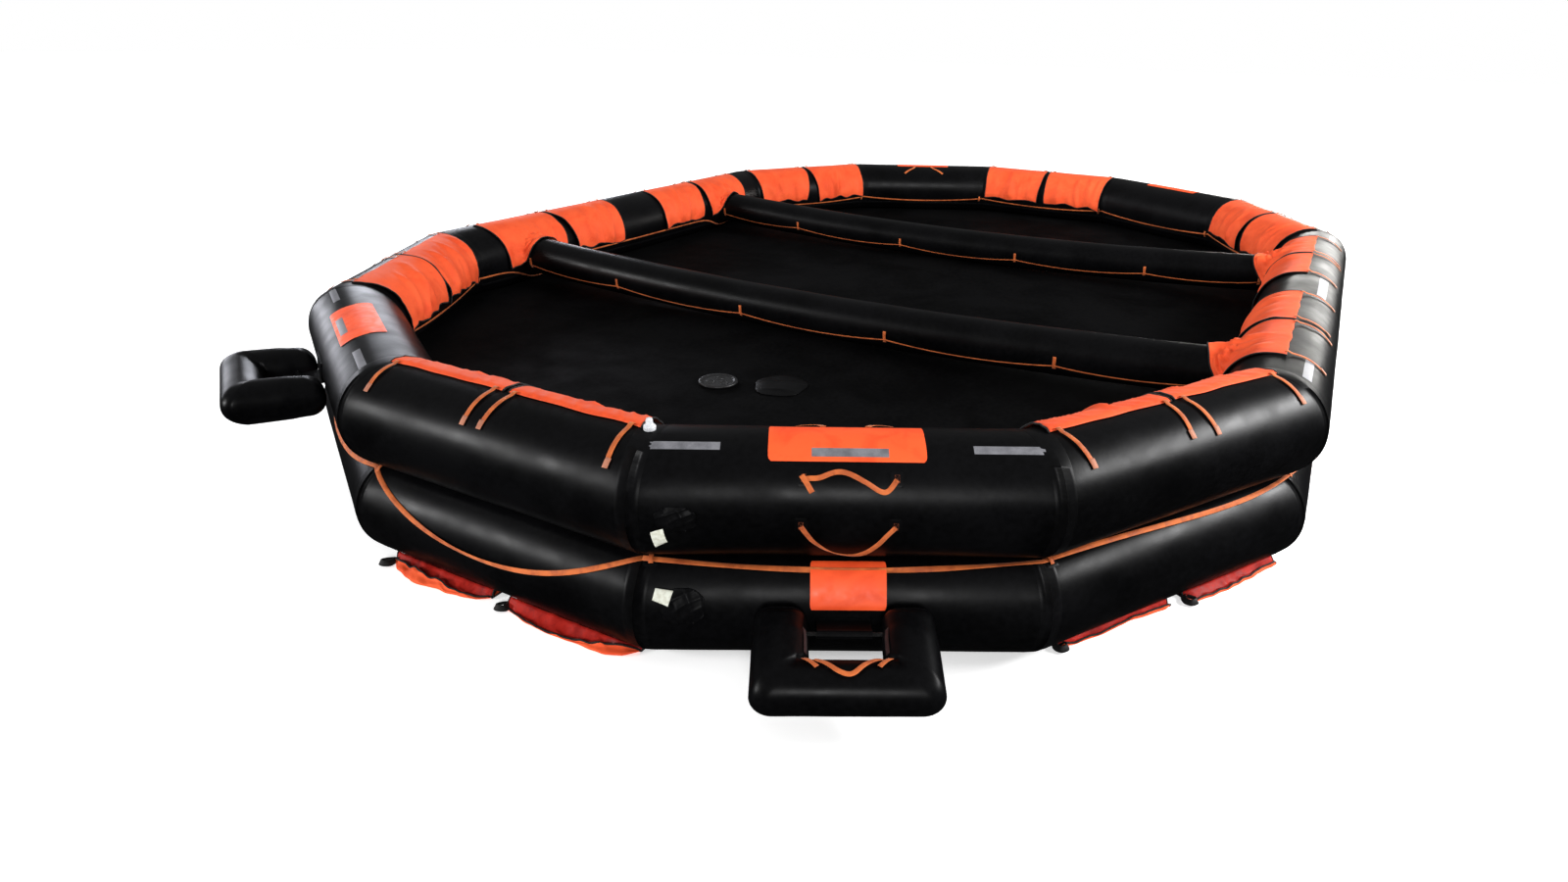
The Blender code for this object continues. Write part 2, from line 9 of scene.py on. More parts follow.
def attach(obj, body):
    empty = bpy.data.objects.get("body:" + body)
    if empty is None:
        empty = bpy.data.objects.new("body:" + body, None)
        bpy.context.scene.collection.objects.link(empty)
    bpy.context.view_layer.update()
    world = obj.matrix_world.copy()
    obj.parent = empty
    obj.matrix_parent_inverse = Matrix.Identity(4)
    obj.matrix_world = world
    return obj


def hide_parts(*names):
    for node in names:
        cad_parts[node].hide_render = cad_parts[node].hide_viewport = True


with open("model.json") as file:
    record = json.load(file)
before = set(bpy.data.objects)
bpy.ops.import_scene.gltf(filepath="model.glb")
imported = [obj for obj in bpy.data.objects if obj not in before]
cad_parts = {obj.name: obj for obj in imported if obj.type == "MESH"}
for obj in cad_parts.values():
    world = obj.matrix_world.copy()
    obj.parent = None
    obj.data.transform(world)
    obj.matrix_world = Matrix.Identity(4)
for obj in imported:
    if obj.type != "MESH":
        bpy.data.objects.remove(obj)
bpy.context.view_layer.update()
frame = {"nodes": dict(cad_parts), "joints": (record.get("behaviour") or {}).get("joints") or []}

# The raft's driving dimensions, in metres. The sides are numbered counter-clockwise from above.
SIDE_COUNT = 12
SIDE = 1.58  # length of a short side
EXTRA = 2.62  # how much longer a long side is
TUBE_R = 0.27
TUBE_SPACING = 0.475
HALF_TURN = math.radians(15)
CORNER_R = SIDE / (2 * math.sin(HALF_TURN))
LOWER_Z = TUBE_R * math.cos(HALF_TURN)
UPPER_Z = LOWER_Z + TUBE_SPACING
MID_Z = (LOWER_Z + UPPER_Z) / 2
FLOOR_HALF = 0.003
LONG_SIDES = (3, 9)
RAMP_SIDES = (1, 5, 7, 11)
LOW_RAMPS = (1, 7)
POCKET_SIDES = (2, 4, 6, 8, 10, 12)
THWART_X = 1.40
THWART_R = 0.147
THWART_RISE = 0.098  # from its middle to its ends
THWART_HALF = 2.82
LONG_PAIR = 1.05  # from the middle of a long side to that of each pair of pockets
WAVE_COUNT = 9
WAVE_PEAK = 1.6  # about how high the sum of so many waves reaches
UP = np.array([0.0, 0.0, 1.0])


# Small numeric helpers

def waves(points, seed, scale):
    """Smooth noise from -1 to 1 at the points: a sum of sine waves about scale metres long."""
    random = np.random.default_rng(seed)
    total = np.zeros(points.shape[:-1])
    for _ in range(WAVE_COUNT):
        direction = random.normal(size=points.shape[-1])
        direction /= np.linalg.norm(direction)
        length = scale * random.uniform(0.6, 1.6)
        phase = random.uniform(0, 2 * math.pi)
        total += np.sin(points @ direction * (2 * math.pi / length) + phase)
    return total / math.sqrt(WAVE_COUNT) / WAVE_PEAK


def swell(points, seed, scale):
    """The same noise from 0 to 1."""
    return 0.5 + 0.5 * waves(points, seed, scale)


def ridges(points, seed, direction, spacing, warp):
    """Sharp fold lines from 0 to 1 across this direction, wandering by the warp."""
    direction = np.asarray(direction, float)
    along = points @ (direction / np.linalg.norm(direction))
    along = along + warp * waves(points, seed, spacing * 5)
    fold = 1 - np.abs(np.sin(math.pi * along / spacing + seed))
    return fold ** 2 * np.clip(swell(points, seed + 1, spacing * 3), 0, 1)


def smooth(low, high, x):
    share = np.clip((x - low) / (high - low), 0, 1)
    return share * share * (3 - 2 * share)


def unit(vectors):
    return vectors / np.linalg.norm(vectors, axis=-1, keepdims=True)


def circle(count):
    """Evenly spaced angles round one turn."""
    return np.linspace(0, 2 * math.pi, count, endpoint=False)


def unit_grid(rows, columns):
    """Two arrays of shares from 0 to 1, along the rows and along the columns."""
    return np.meshgrid(np.linspace(0, 1, rows), np.linspace(0, 1, columns), indexing="ij")


def curve_through(points, count):
    """A smooth curve through the points, sampled evenly by index."""
    points = np.asarray(points, float)
    padded = np.vstack([2 * points[0] - points[1], points, 2 * points[-1] - points[-2]])
    places = np.linspace(0, len(points) - 1, count)
    index = np.minimum(places.astype(int), len(points) - 2)
    t = (places - index)[:, None]
    a, b, c, d = (padded[index + k] for k in range(4))
    square = (2 * a - 5 * b + 4 * c - d) * t**2
    return 0.5 * (2 * b + (c - a) * t + square + (3 * b - a - 3 * c + d) * t**3)


# Meshes

def finish_piece(obj, body, material, replaces=()):
    """Gives a piece its material and body, and hides the CAD nodes that it replaces."""
    obj.data.materials.append(material)
    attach(obj, body)
    if replaces:
        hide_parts(*replaces)


def add_object(name, data):
    made = bpy.data.objects.new(name, data)
    bpy.context.scene.collection.objects.link(made)
    return made


def new_object(name, points, faces, uvs):
    mesh = bpy.data.meshes.new(name)
    mesh.from_pydata(points.tolist(), [], faces)
    layer = mesh.uv_layers.new(name="UVMap")
    loops = np.empty(len(mesh.loops), int)
    mesh.loops.foreach_get("vertex_index", loops)
    layer.data.foreach_set("uv", np.asarray(uvs, np.float32)[loops].ravel())
    mesh.validate()
    mesh.shade_smooth()
    return add_object(name, mesh)


def grid_faces(rows, columns, wrap_rows, wrap_columns, offset):
    faces = []
    for i in range(rows if wrap_rows else rows - 1):
        following = (i + 1) % rows
        for j in range(columns if wrap_columns else columns - 1):
            beside = (j + 1) % columns
            faces.append((
                offset + i * columns + j,
                offset + following * columns + j,
                offset + following * columns + beside,
                offset + i * columns + beside,
            ))
    return faces


class Builder:
    """Collects grids of points into one mesh."""

    def __init__(self):
        self.points = []
        self.faces = []
        self.uvs = []
        self.count = 0

    def grid(self, points, wrap_rows=False, wrap_columns=False, caps=False, uv=None, flip=False):
        """Adds a grid of points, rows by columns. Caps close the first and last row."""
        rows, columns = points.shape[:2]
        faces = grid_faces(rows, columns, wrap_rows, wrap_columns, self.count)
        if caps:
            first = [self.count + j for j in range(columns)]
            last = [self.count + (rows - 1) * columns + j for j in reversed(range(columns))]
            faces.extend([tuple(first), tuple(last)])
        if flip:
            faces = [tuple(reversed(face)) for face in faces]
        if uv is None:
            across = np.broadcast_to(np.arange(columns) * 0.01, (rows, columns))
            along = np.broadcast_to(np.arange(rows)[:, None] * 0.01, (rows, columns))
            uv = np.stack([across, along], -1)
        self.points.append(points.reshape(-1, 3))
        self.uvs.append(np.asarray(uv).reshape(-1, 2))
        self.faces.extend(faces)
        self.count += rows * columns

    def make(self, name):
        return new_object(name, np.concatenate(self.points), self.faces, np.concatenate(self.uvs))

    def piece(self, name, body, material, replaces=()):
        finish_piece(self.make(name), body, material, replaces)


def solidify(obj, thickness, offset):
    modifier = obj.modifiers.new("thickness", "SOLIDIFY")
    modifier.thickness = thickness
    modifier.offset = offset
    modifier.use_even_offset = False


# Where things are on the tubes

def corner(number):
    angle = math.radians(195 + 30 * (number - 1))
    x = CORNER_R * math.cos(angle)
    return np.array([x + math.copysign(EXTRA / 2, x), CORNER_R * math.sin(angle), 0.0])


class Side:
    """One straight side of the ring."""

    def __init__(self, number):
        self.number = number
        start = corner(number)
        end = corner(number % 12 + 1)
        run = math.radians(-60 + 30 * (number - 1))
        self.along = np.array([math.cos(run), math.sin(run), 0.0])
        self.outward = np.array([math.sin(run), -math.cos(run), 0.0])
        self.middle = (start + end) / 2
        self.length = float(np.linalg.norm(end - start))

    def half(self, angle):
        """Half its length at this angle above outward, between its two mitre planes."""
        return self.length / 2 + TUBE_R * np.cos(angle) * math.tan(HALF_TURN)

    def at(self, height, along, angle, distance):
        along, angle, distance = np.broadcast_arrays(along, angle, distance)
        across = np.cos(angle)[..., None] * self.outward + np.sin(angle)[..., None] * UP
        centre = self.middle + height * UP
        return centre + along[..., None] * self.along + distance[..., None] * across


SIDES = {number: Side(number) for number in range(1, SIDE_COUNT + 1)}
# From a centre line to the flat where the tubes meet
FLAT_BETWEEN = UPPER_Z - MID_Z - FLOOR_HALF - 0.0004
SEAM_PINCH = 0.0028
PUCKER = 0.0016
UNEVEN = 0.0011
SOFTNESS = 26  # a higher one rounds the edges of the flats less


def skin(number, upper, along, angle):
    """How far the inflated skin lies from the centre line, with its mitre pinches and flats."""
    side = SIDES[number]
    along, angle = np.broadcast_arrays(np.asarray(along, float), np.asarray(angle, float))
    from_mitre = np.maximum(side.half(angle) - np.abs(along), 0)
    radius = TUBE_R - SEAM_PINCH * np.exp(-((from_mitre / 0.035) ** 2))
    near = np.where(along < 0, number, number % 12 + 1) + (40 if upper else 0)
    pucker = np.sin(23 * angle + near * 2.1) + 0.7 * np.sin(37 * angle + near * 5.3)
    pucker = pucker + 0.5 * np.sin(11 * angle + near)
    inner = 0.35 + 0.65 * np.clip(-np.cos(angle), 0, 1)
    fade = np.exp(-from_mitre / 0.075) * (1 - np.exp(-((from_mitre / 0.014) ** 2)))
    radius = radius + PUCKER * inner * pucker * fade
    place = side.at(UPPER_Z if upper else LOWER_Z, along, angle, TUBE_R)
    radius = radius + UNEVEN * waves(place, 5, 0.55) - UNEVEN
    down = np.maximum(-np.sin(angle), 1e-6)
    above = np.maximum(np.sin(angle), 1e-6)
    if upper:
        return (radius**-SOFTNESS + (FLAT_BETWEEN / down) ** -SOFTNESS) ** (-1 / SOFTNESS)
    soft = (
        radius**-SOFTNESS + (FLAT_BETWEEN / above) ** -SOFTNESS
        + (LOWER_Z / down) ** (-2 * SOFTNESS)
    )
    soft = np.where(
        down > above, radius ** (-2 * SOFTNESS) + (LOWER_Z / down) ** (-2 * SOFTNESS), soft
    )
    return np.where(down > above, soft ** (-1 / (2 * SOFTNESS)), soft ** (-1 / SOFTNESS))


def on_tube(number, upper, along, degrees, lift=0.0):
    """Points that lie on a tube's skin, or this far off it, at angles in degrees above outward."""
    along, degrees, lift = np.broadcast_arrays(
        np.asarray(along, float), np.asarray(degrees, float), np.asarray(lift, float)
    )
    angle = np.radians(degrees)
    distance = skin(number, upper, along, angle) + lift
    return SIDES[number].at(UPPER_Z if upper else LOWER_Z, along, angle, distance)


def tube_normal(number, degrees):
    angle = np.radians(np.asarray(degrees, float))
    return np.cos(angle)[..., None] * SIDES[number].outward + np.sin(angle)[..., None] * UP


def patch(
    builder, number, upper, low_along, high_along, low, high, lift, thickness, cells=(12, 12),
    corner_cut=0.0
):
    """A thin raised rectangle of sheet on a tube, with its edge turned down."""
    u, v = unit_grid(*cells)
    if corner_cut:
        pull = corner_cut * (2 * np.abs(u - 0.5)) ** 14 * (2 * np.abs(v - 0.5)) ** 14
        u = u + pull * np.sign(0.5 - u) / (high_along - low_along)
    along = low_along + (high_along - low_along) * u
    degrees = low + (high - low) * v
    edge = (u <= 1e-9) | (u >= 1 - 1e-9) | (v <= 1e-9) | (v >= 1 - 1e-9)
    raised = np.where(edge, lift, lift + thickness)
    top = on_tube(number, upper, along, degrees, raised)
    uv = np.stack([along, np.radians(degrees) * TUBE_R], -1)
    builder.grid(top, uv=uv, flip=True)


# Width and thickness of each kind of webbing
WEBBING = {
    "thwart line": (0.010, 0.0028),
    "thwart tab": (0.022, 0.003),
    "pocket strap": (0.024, 0.002),
    "pocket strap end": (0.028, 0.0036),
    "pocket loop": (0.030, 0.0028),
    "outer_lifeline": (0.024, 0.0026),
    "inner_lifeline": (0.015, 0.0026),
    "line loop": (0.020, 0.0026),
    "pull strap": (0.024, 0.0026),
    "handle": (0.021, 0.0028),
    "toggle": (0.022, 0.003),
    "ramp strip": (0.024, 0.0026),
    "ramp grip": (0.020, 0.0026),
}
CLOTH_THICK = 0.0016
FLOOR_THICK = 0.0018
COVER_THICK = 0.0012
CARD_THICK = 0.0008


def sweep_strap(builder, points, normals, size, twist=None):
    """A flat strap along points: its face is towards the normals, turned by the twist."""
    run = unit(np.gradient(points, axis=0))
    across = unit(np.cross(normals, run))
    face = unit(np.cross(run, across))
    if twist is not None:
        c = np.cos(twist)[:, None]
        s = np.sin(twist)[:, None]
        across, face = across * c + face * s, face * c - across * s
    width, thickness = size
    half = width / 2
    t = thickness / 2
    bevel = min(thickness * 0.3, half * 0.3)
    outline = [
        (-half, t - bevel), (-half + bevel, t), (0, t), (half - bevel, t), (half, t - bevel),
        (half, -t + bevel), (half - bevel, -t), (0, -t), (-half + bevel, -t), (-half, -t + bevel),
    ]
    rings = np.stack([points + across * x + face * z for x, z in outline], 1)
    lengths = np.concatenate([[0], np.cumsum(np.linalg.norm(np.diff(points, axis=0), axis=1))])
    widths = np.array([x for x, _ in outline])
    uv = np.stack(np.broadcast_arrays(widths[None, :], lengths[:, None]), -1)
    builder.grid(rings, wrap_columns=True, caps=True, uv=uv)


def sweep_round(builder, points, radius, sides):
    """A round tube along points."""
    run = unit(np.gradient(points, axis=0))
    across = np.cross(run[0], UP)
    if np.linalg.norm(across) < 1e-3:
        across = np.cross(run[0], [1.0, 0, 0])
    turns = circle(sides)[:, None]
    rings = []
    for place, direction in zip(points, run):
        across = unit(across - direction * (across @ direction))
        other = np.cross(direction, across)
        rings.append(place + radius * (np.cos(turns) * across + np.sin(turns) * other))
    builder.grid(np.array(rings), wrap_columns=True, caps=True)


# Materials

class Surface:
    """A procedural material: a Principled shader with noise-driven colour, roughness and bump."""

    def __init__(self, name, roughness, **constants):
        self.material = bpy.data.materials.new(name)
        self.material.use_nodes = True
        self.nodes = self.material.node_tree.nodes
        self.links = self.material.node_tree.links
        self.shader = self.nodes["Principled BSDF"]
        self.shader.inputs["Roughness"].default_value = roughness
        for socket, value in constants.items():
            self.shader.inputs[socket.replace("_", " ")].default_value = value
        self.coordinates = self.nodes.new("ShaderNodeTexCoord")
        self.normal = None

    def node(self, kind, **inputs):
        """A new node with its inputs, each a value or the output that feeds it."""
        made = self.nodes.new("ShaderNode" + kind)
        for socket, value in inputs.items():
            target = made.inputs[socket.replace("_", " ")]
            if isinstance(value, bpy.types.NodeSocket):
                self.links.new(value, target)
            else:
                target.default_value = value
        return made

    def noise(self, scale, detail, stretch=None, distortion=0.0):
        source = self.coordinates.outputs["Object"]
        if stretch:
            source = self.node("Mapping", Scale=stretch, Vector=source).outputs["Vector"]
        made = self.node(
            "TexNoise", Scale=scale, Detail=detail, Distortion=distortion, Vector=source
        )
        return made.outputs["Fac"]

    def wave(self, scale, direction):
        made = self.node("TexWave", Scale=scale, Vector=self.coordinates.outputs["UV"])
        made.bands_direction = direction
        return made.outputs["Fac"]

    def spread(self, source, low, high, to_low, to_high):
        """Maps low to high onto to_low to to_high."""
        made = self.node(
            "MapRange", Value=source, From_Min=low, From_Max=high, To_Min=to_low, To_Max=to_high
        )
        return made.outputs["Result"]

    def math(self, operation, first, second):
        made = self.nodes.new("ShaderNodeMath")
        made.operation = operation
        for socket, value in zip(made.inputs, (first, second)):
            if isinstance(value, (int, float)):
                socket.default_value = value
            else:
                self.links.new(value, socket)
        return made.outputs["Value"]

    def colours(self, source, stops):
        made = self.nodes.new("ShaderNodeValToRGB")
        ramp = made.color_ramp
        while len(ramp.elements) < len(stops):
            ramp.elements.new(0.5)
        for element, (place, colour) in zip(ramp.elements, stops):
            element.position = place
            element.color = (*colour, 1)
        self.links.new(source, made.inputs["Fac"])
        return made.outputs["Color"]

    def multiply(self, first, second):
        """One colour times another."""
        made = self.nodes.new("ShaderNodeMix")
        made.data_type = "RGBA"
        made.blend_type = "MULTIPLY"
        made.inputs[0].default_value = 1.0
        self.links.new(first, made.inputs[6])
        self.links.new(second, made.inputs[7])
        return made.outputs[2]

    def colour(self, source):
        self.links.new(source, self.shader.inputs["Base Color"])

    def rough(self, source):
        self.links.new(source, self.shader.inputs["Roughness"])

    def bump(self, source, strength, distance):
        made = self.node("Bump", Strength=strength, Distance=distance, Height=source)
        if self.normal is not None:
            self.links.new(self.normal, made.inputs["Normal"])
        self.normal = made.outputs["Normal"]
        self.links.new(self.normal, self.shader.inputs["Normal"])


def coated_fabric(name, dark, light, rough_low, rough_high, specular):
    """Coated fabric: a fine weave under the coat, cloudy colour and uneven gloss."""
    made = Surface(name, rough_low, Specular_IOR_Level=specular)
    cloudy = made.noise(1.7, 6, distortion=0.6)
    fine = made.noise(38, 4)
    blend = made.math("MULTIPLY", cloudy, made.spread(fine, 0.3, 0.75, 0.7, 1.2))
    made.colour(made.colours(blend, [(0.30, dark), (0.57, light)]))
    made.rough(made.spread(made.noise(5.5, 5), 0.3, 0.7, rough_low, rough_high))
    made.bump(made.noise(9, 3), 0.22, 0.004)
    made.bump(made.noise(70, 3), 0.16, 0.0008)
    made.bump(made.noise(900, 1), 0.18, 0.0002)
    return made.material


def woven_nylon(name, bright, deep, roughness):
    """Light woven cloth: fine weave, faint crease marks and uneven colour."""
    made = Surface(name, roughness, Specular_IOR_Level=0.22, Sheen_Weight=0.04, Sheen_Roughness=0.4)
    patchy = made.noise(4.5, 6, distortion=0.9)
    creased = made.noise(26, 5, distortion=1.4)
    blend = made.math(
        "ADD", made.math("MULTIPLY", patchy, 0.65), made.math("MULTIPLY", creased, 0.35)
    )
    made.colour(made.colours(blend, [(0.34, deep), (0.58, bright)]))
    made.rough(made.spread(creased, 0.3, 0.7, roughness - 0.1, roughness + 0.1))
    made.bump(creased, 0.30, 0.0022)
    made.bump(made.noise(1100, 1, stretch=(1, 1, 0.25)), 0.25, 0.0002)
    made.bump(made.noise(1100, 1, stretch=(0.25, 0.25, 1)), 0.25, 0.0002)
    return made.material


def webbing(name, bright, deep, width):
    """Woven strap: ribs across its run, a darker line near each edge, and wear."""
    made = Surface(name, 0.62, Specular_IOR_Level=0.35, Sheen_Weight=0.1)
    worn = made.noise(16, 5, distortion=0.5)
    base = made.colours(worn, [(0.32, deep), (0.62, bright)])
    stripe = made.spread(made.wave(math.pi / width, "X"), 0.0, 0.35, 0.62, 1.0)
    made.colour(
        made.multiply(base, made.colours(stripe, [(0.0, (0.3, 0.3, 0.3)), (1.0, (1, 1, 1))]))
    )
    made.rough(made.spread(worn, 0.3, 0.7, 0.5, 0.75))
    made.bump(made.wave(110, "Y"), 0.35, 0.0006)
    made.bump(made.wave(160, "X"), 0.25, 0.0004)
    return made.material


BLACK = coated_fabric(
    "tube coated fabric", (0.0012, 0.0012, 0.0015), (0.0038, 0.0038, 0.0045), 0.30, 0.42, 0.11
)
TAPE_BLACK = coated_fabric(
    "seam tape", (0.0018, 0.0018, 0.0021), (0.0050, 0.0050, 0.0058), 0.34, 0.46, 0.11
)
FLOOR_BLACK = coated_fabric(
    "floor fabric", (0.0016, 0.0016, 0.0018), (0.0050, 0.0050, 0.0054), 0.66, 0.80, 0.03
)
ORANGE = woven_nylon("pocket nylon", (0.80, 0.132, 0.044), (0.70, 0.092, 0.028), 0.66)
# The inside of a lower pocket's mouth: the orange nylon coloured dark red, as painted shade
POCKET_MOUTH_PAINTED_SHADE = woven_nylon("pocket lining", (0.46, 0.024, 0.014), (0.22, 0.008, 0.007), 0.55)
STRAP = webbing("lifeline webbing", (0.62, 0.175, 0.045), (0.40, 0.095, 0.024), 0.034)
STRAP_TIP = webbing("strap tip", (0.52, 0.235, 0.150), (0.38, 0.150, 0.085), 0.028)
HEM_BLACK = webbing("black hem tape", (0.012, 0.011, 0.011), (0.006, 0.006, 0.006), 0.02)
# Red webbing on the ramps' arms, its colour darkened almost to black as painted shade for the arms'
# inner sides
RED_STRAP_PAINTED_SHADE = webbing("red strap in painted shade", (0.030, 0.002, 0.002), (0.014, 0.001, 0.001), 0.03)


def label_material():
    made = Surface("orange label", 0.48, Specular_IOR_Level=0.4)
    dirt = made.noise(7, 6, distortion=0.8)
    made.colour(made.colours(dirt, [(0.30, (0.80, 0.090, 0.022)), (0.55, (0.94, 0.130, 0.034))]))
    made.rough(made.spread(made.noise(24, 4), 0.3, 0.7, 0.38, 0.58))
    made.bump(made.noise(1000, 1), 0.2, 0.0002)
    made.bump(made.noise(30, 3), 0.2, 0.0010)
    return made.material


def reflective_material():
    made = Surface("grey reflective tape", 0.35, Metallic=0.35, Specular_IOR_Level=0.5)
    cells = made.node("TexVoronoi", Scale=330, Vector=made.coordinates.outputs["UV"])
    grime = made.noise(20, 5)
    base = made.colours(grime, [(0.30, (0.22, 0.22, 0.235)), (0.62, (0.33, 0.33, 0.35))])
    facets = made.colours(cells.outputs["Distance"], [(0.0, (1, 1, 1)), (1.0, (0.72, 0.72, 0.75))])
    made.colour(made.multiply(base, facets))
    made.rough(made.spread(grime, 0.3, 0.7, 0.28, 0.5))
    made.bump(cells.outputs["Distance"], 0.3, 0.0004)
    return made.material


def plain_plastic(name, light, dark, roughness, **constants):
    made = Surface(name, roughness, **constants)
    made.colour(made.colours(made.noise(60, 4), [(0.35, dark), (0.6, light)]))
    made.rough(made.spread(made.noise(90, 3), 0.3, 0.7, roughness - 0.06, roughness + 0.08))
    made.bump(made.noise(220, 2), 0.12, 0.0003)
    return made.material


LABEL = label_material()
TAPE_GREY = reflective_material()
TAG_WHITE = plain_plastic("tag card", (0.62, 0.63, 0.56), (0.50, 0.50, 0.42), 0.5)
LAMP_WHITE = plain_plastic(
    "lamp plastic", (0.85, 0.86, 0.88), (0.72, 0.73, 0.76), 0.28, Transmission_Weight=0.25
)
BLACK_PLASTIC = plain_plastic("black moulding", (0.015, 0.015, 0.016), (0.008, 0.008, 0.009), 0.45)
THREAD = plain_plastic("stitching thread", (0.30, 0.07, 0.02), (0.20, 0.045, 0.012), 0.7)


# The two tubes and their seams

AROUND = 84
NEAR_MITRE = (0.0, 0.012, 0.024, 0.037, 0.052, 0.07, 0.095, 0.13, 0.175)
STEP = 0.065


def stations_of(side):
    """Places along a side, from -1 to 1 of its half length, closer together near the mitres."""
    half = side.length / 2
    near = np.array(NEAR_MITRE)
    middle = np.linspace(near[-1], half, max(2, round((half - near[-1]) / STEP)))[1:]
    from_start = np.concatenate([near, middle]) / half
    first = from_start - 1
    return np.concatenate([first, -first[:-1][::-1]])[:-1]


def make_tube(name, upper):
    """A tube's skin, one closed band round all twelve sides."""
    turns = circle(AROUND)
    rows = []
    for number, side in SIDES.items():
        shares = stations_of(side)[:, None]
        along = shares * side.half(turns)[None, :]
        rows.append(on_tube(number, upper, along, np.degrees(turns)[None, :]))
    builder = Builder()
    builder.grid(np.concatenate(rows), wrap_rows=True, wrap_columns=True, flip=True)
    node = "upper_tube" if upper else "lower_tube"
    builder.piece(name, "raft", BLACK, [node])


SEAM_TAPE = ((0.052, 0.0), (0.048, 0.0009), (0.0004, 0.0009))  # distance from the mitre, and lift
GIRTH_TAPE = ((-4.6, 0.0), (-4.4, 0.0012), (4.4, 0.0012), (4.6, 0.0))  # degrees, and lift


def make_seam_tapes(name, upper):
    """A flat tape over each mitre seam and one along the inner side of each tube."""
    turns = circle(AROUND)
    degrees = np.degrees(turns)
    builder = Builder()
    for number in SIDES:
        before = SIDES[(number - 2) % 12 + 1]
        rows = []
        for offset, lift in SEAM_TAPE:
            rows.append(on_tube(before.number, upper, before.half(turns) - offset, degrees, lift))
        for offset, lift in reversed(SEAM_TAPE):
            rows.append(on_tube(number, upper, offset - SIDES[number].half(turns), degrees, lift))
        builder.grid(np.array(rows), wrap_columns=True, flip=True)
    middle = 214 if upper else 146
    for number in SIDES:
        shares = np.concatenate([stations_of(SIDES[number]), [1.0]])
        edges, lift = np.array(GIRTH_TAPE).T
        edges = edges + middle
        along = shares[:, None] * SIDES[number].half(np.radians(edges))[None, :]
        builder.grid(on_tube(number, upper, along, edges, lift), flip=True)
    builder.piece(name, "raft", TAPE_BLACK)


# The floor and what lies on it

FLOOR_SAG = 0.018
DRAIN_AT = np.array([-2.556, 0.073])
PATCH_AT = np.array([-2.407, -0.290])


def floor_height(x, y, reach):
    """Height of the floor fabric. It sags a little between the tubes and the thwarts."""
    place = np.stack([x, y], -1)
    from_thwart = np.abs(np.abs(x) - THWART_X)
    free = smooth(0.0, 0.5, from_thwart) * (1 - smooth(0.62, 0.93, reach))
    slack = 0.6 + 0.4 * waves(place, 21, 1.9)
    creases = ridges(place, 31, (1.0, 0.35), 0.62, 0.10) + ridges(place, 33, (0.3, 1.0), 0.85, 0.14)
    height = -FLOOR_SAG * free * slack + 0.0035 * free * creases
    return MID_Z + FLOOR_HALF - 0.0012 + np.minimum(height, 0.0)


def make_floor():
    """The floor as a fan of rows from a line along its middle out to the ring."""
    spots = []
    for number, side in SIDES.items():
        shares = np.linspace(-1, 1, 13 if number not in LONG_SIDES else 33)[:-1]
        spots.append(side.middle[:2] + shares[:, None] * side.length / 2 * side.along[:2])
    rim = np.concatenate(spots)
    spine = np.stack([np.clip(rim[:, 0], -EXTRA / 2, EXTRA / 2), np.zeros(len(rim))], -1)
    reach = np.linspace(0.0, 1.0, 46)
    flat = spine[:, None, :] + reach[None, :, None] * (rim - spine)[:, None, :]
    x = flat[..., 0]
    y = flat[..., 1]
    z = floor_height(x, y, np.broadcast_to(reach, x.shape))
    builder = Builder()
    builder.grid(np.stack([x, y, z], -1), wrap_rows=True, flip=True)
    floor = builder.make("floor_fabric")
    weld = floor.modifiers.new("weld", "WELD")
    weld.merge_threshold = 0.0001
    solidify(floor, FLOOR_THICK, -1.0)
    finish_piece(floor, "raft", FLOOR_BLACK, ["floor"])


# Thwarts

THWART_REACH = 2.7  # about half its length


def thwart_height(y):
    return MID_Z + FLOOR_HALF + 0.0003 + THWART_R + THWART_RISE * (y / THWART_HALF) ** 2


def thwart_end(height):
    """How far out the thwart's skin meets the long tube at this height."""
    off = np.clip(height - UPPER_Z, -0.24, 0.24)
    return -SIDES[3].middle[1] - np.sqrt((TUBE_R + 0.006) ** 2 - off**2)


def thwart_point(x, share, turns, lift):
    """Skin of a thwart: share runs from -1 to 1 between the long tubes."""
    radius = THWART_R + lift
    rough_y = share * thwart_end(UPPER_Z)
    z = thwart_height(rough_y) + radius * np.sin(turns)
    y = share * thwart_end(z)
    z = thwart_height(y) + radius * np.sin(turns)
    return np.stack([x + radius * np.cos(turns), y, z], -1)


def make_thwart(name, x):
    turns, share = np.meshgrid(circle(64), np.linspace(-1, 1, 81))
    place = np.stack([share * THWART_REACH, np.sin(turns) * 0.15, np.cos(turns) * 0.15], -1)
    lift = 0.0014 * waves(place + x, 8, 0.6) - 0.0012
    near_end = np.exp(-(1 - np.abs(share)) * THWART_REACH / 0.10)
    lift = lift + 0.002 * near_end * np.sin(17 * turns + 3 * x)
    builder = Builder()
    builder.grid(thwart_point(x, share, turns, lift), wrap_columns=True, caps=True)
    builder.piece(name, "raft", BLACK, [name.replace("_skin", "")])


def make_thwart_fittings():
    """A collar round each end of a thwart."""
    turns = circle(64)
    builder = Builder()
    for x in (-THWART_X, THWART_X):
        for sign in (-1, 1):
            rows = []
            for inward, lift in ((0.055, 0.0), (0.053, 0.002), (0.004, 0.003), (0.0, 0.003)):
                share = np.full_like(turns, sign * (1 - inward / THWART_REACH))
                rows.append(thwart_point(x, share, turns, lift))
            builder.grid(np.array(rows), wrap_columns=True, flip=sign < 0)
    builder.piece("thwart_tapes", "raft", TAPE_BLACK)


LINE_HOLDS = (-2.62, -1.72, -0.575, 0.575, 1.72, 2.62)  # where a thwart's line is held, along it
LINE_TURN = 199  # degrees round the thwart
LINE_SAG = 13  # degrees between two holds that are LINE_BAY apart
LINE_BAY = 1.15


def round_thwart(x, y, turn, away):
    """Points this far from a thwart's centre line."""
    height = thwart_height(y) + away * np.sin(turn)
    return np.stack(np.broadcast_arrays(x + away * np.cos(turn), y, height), -1)


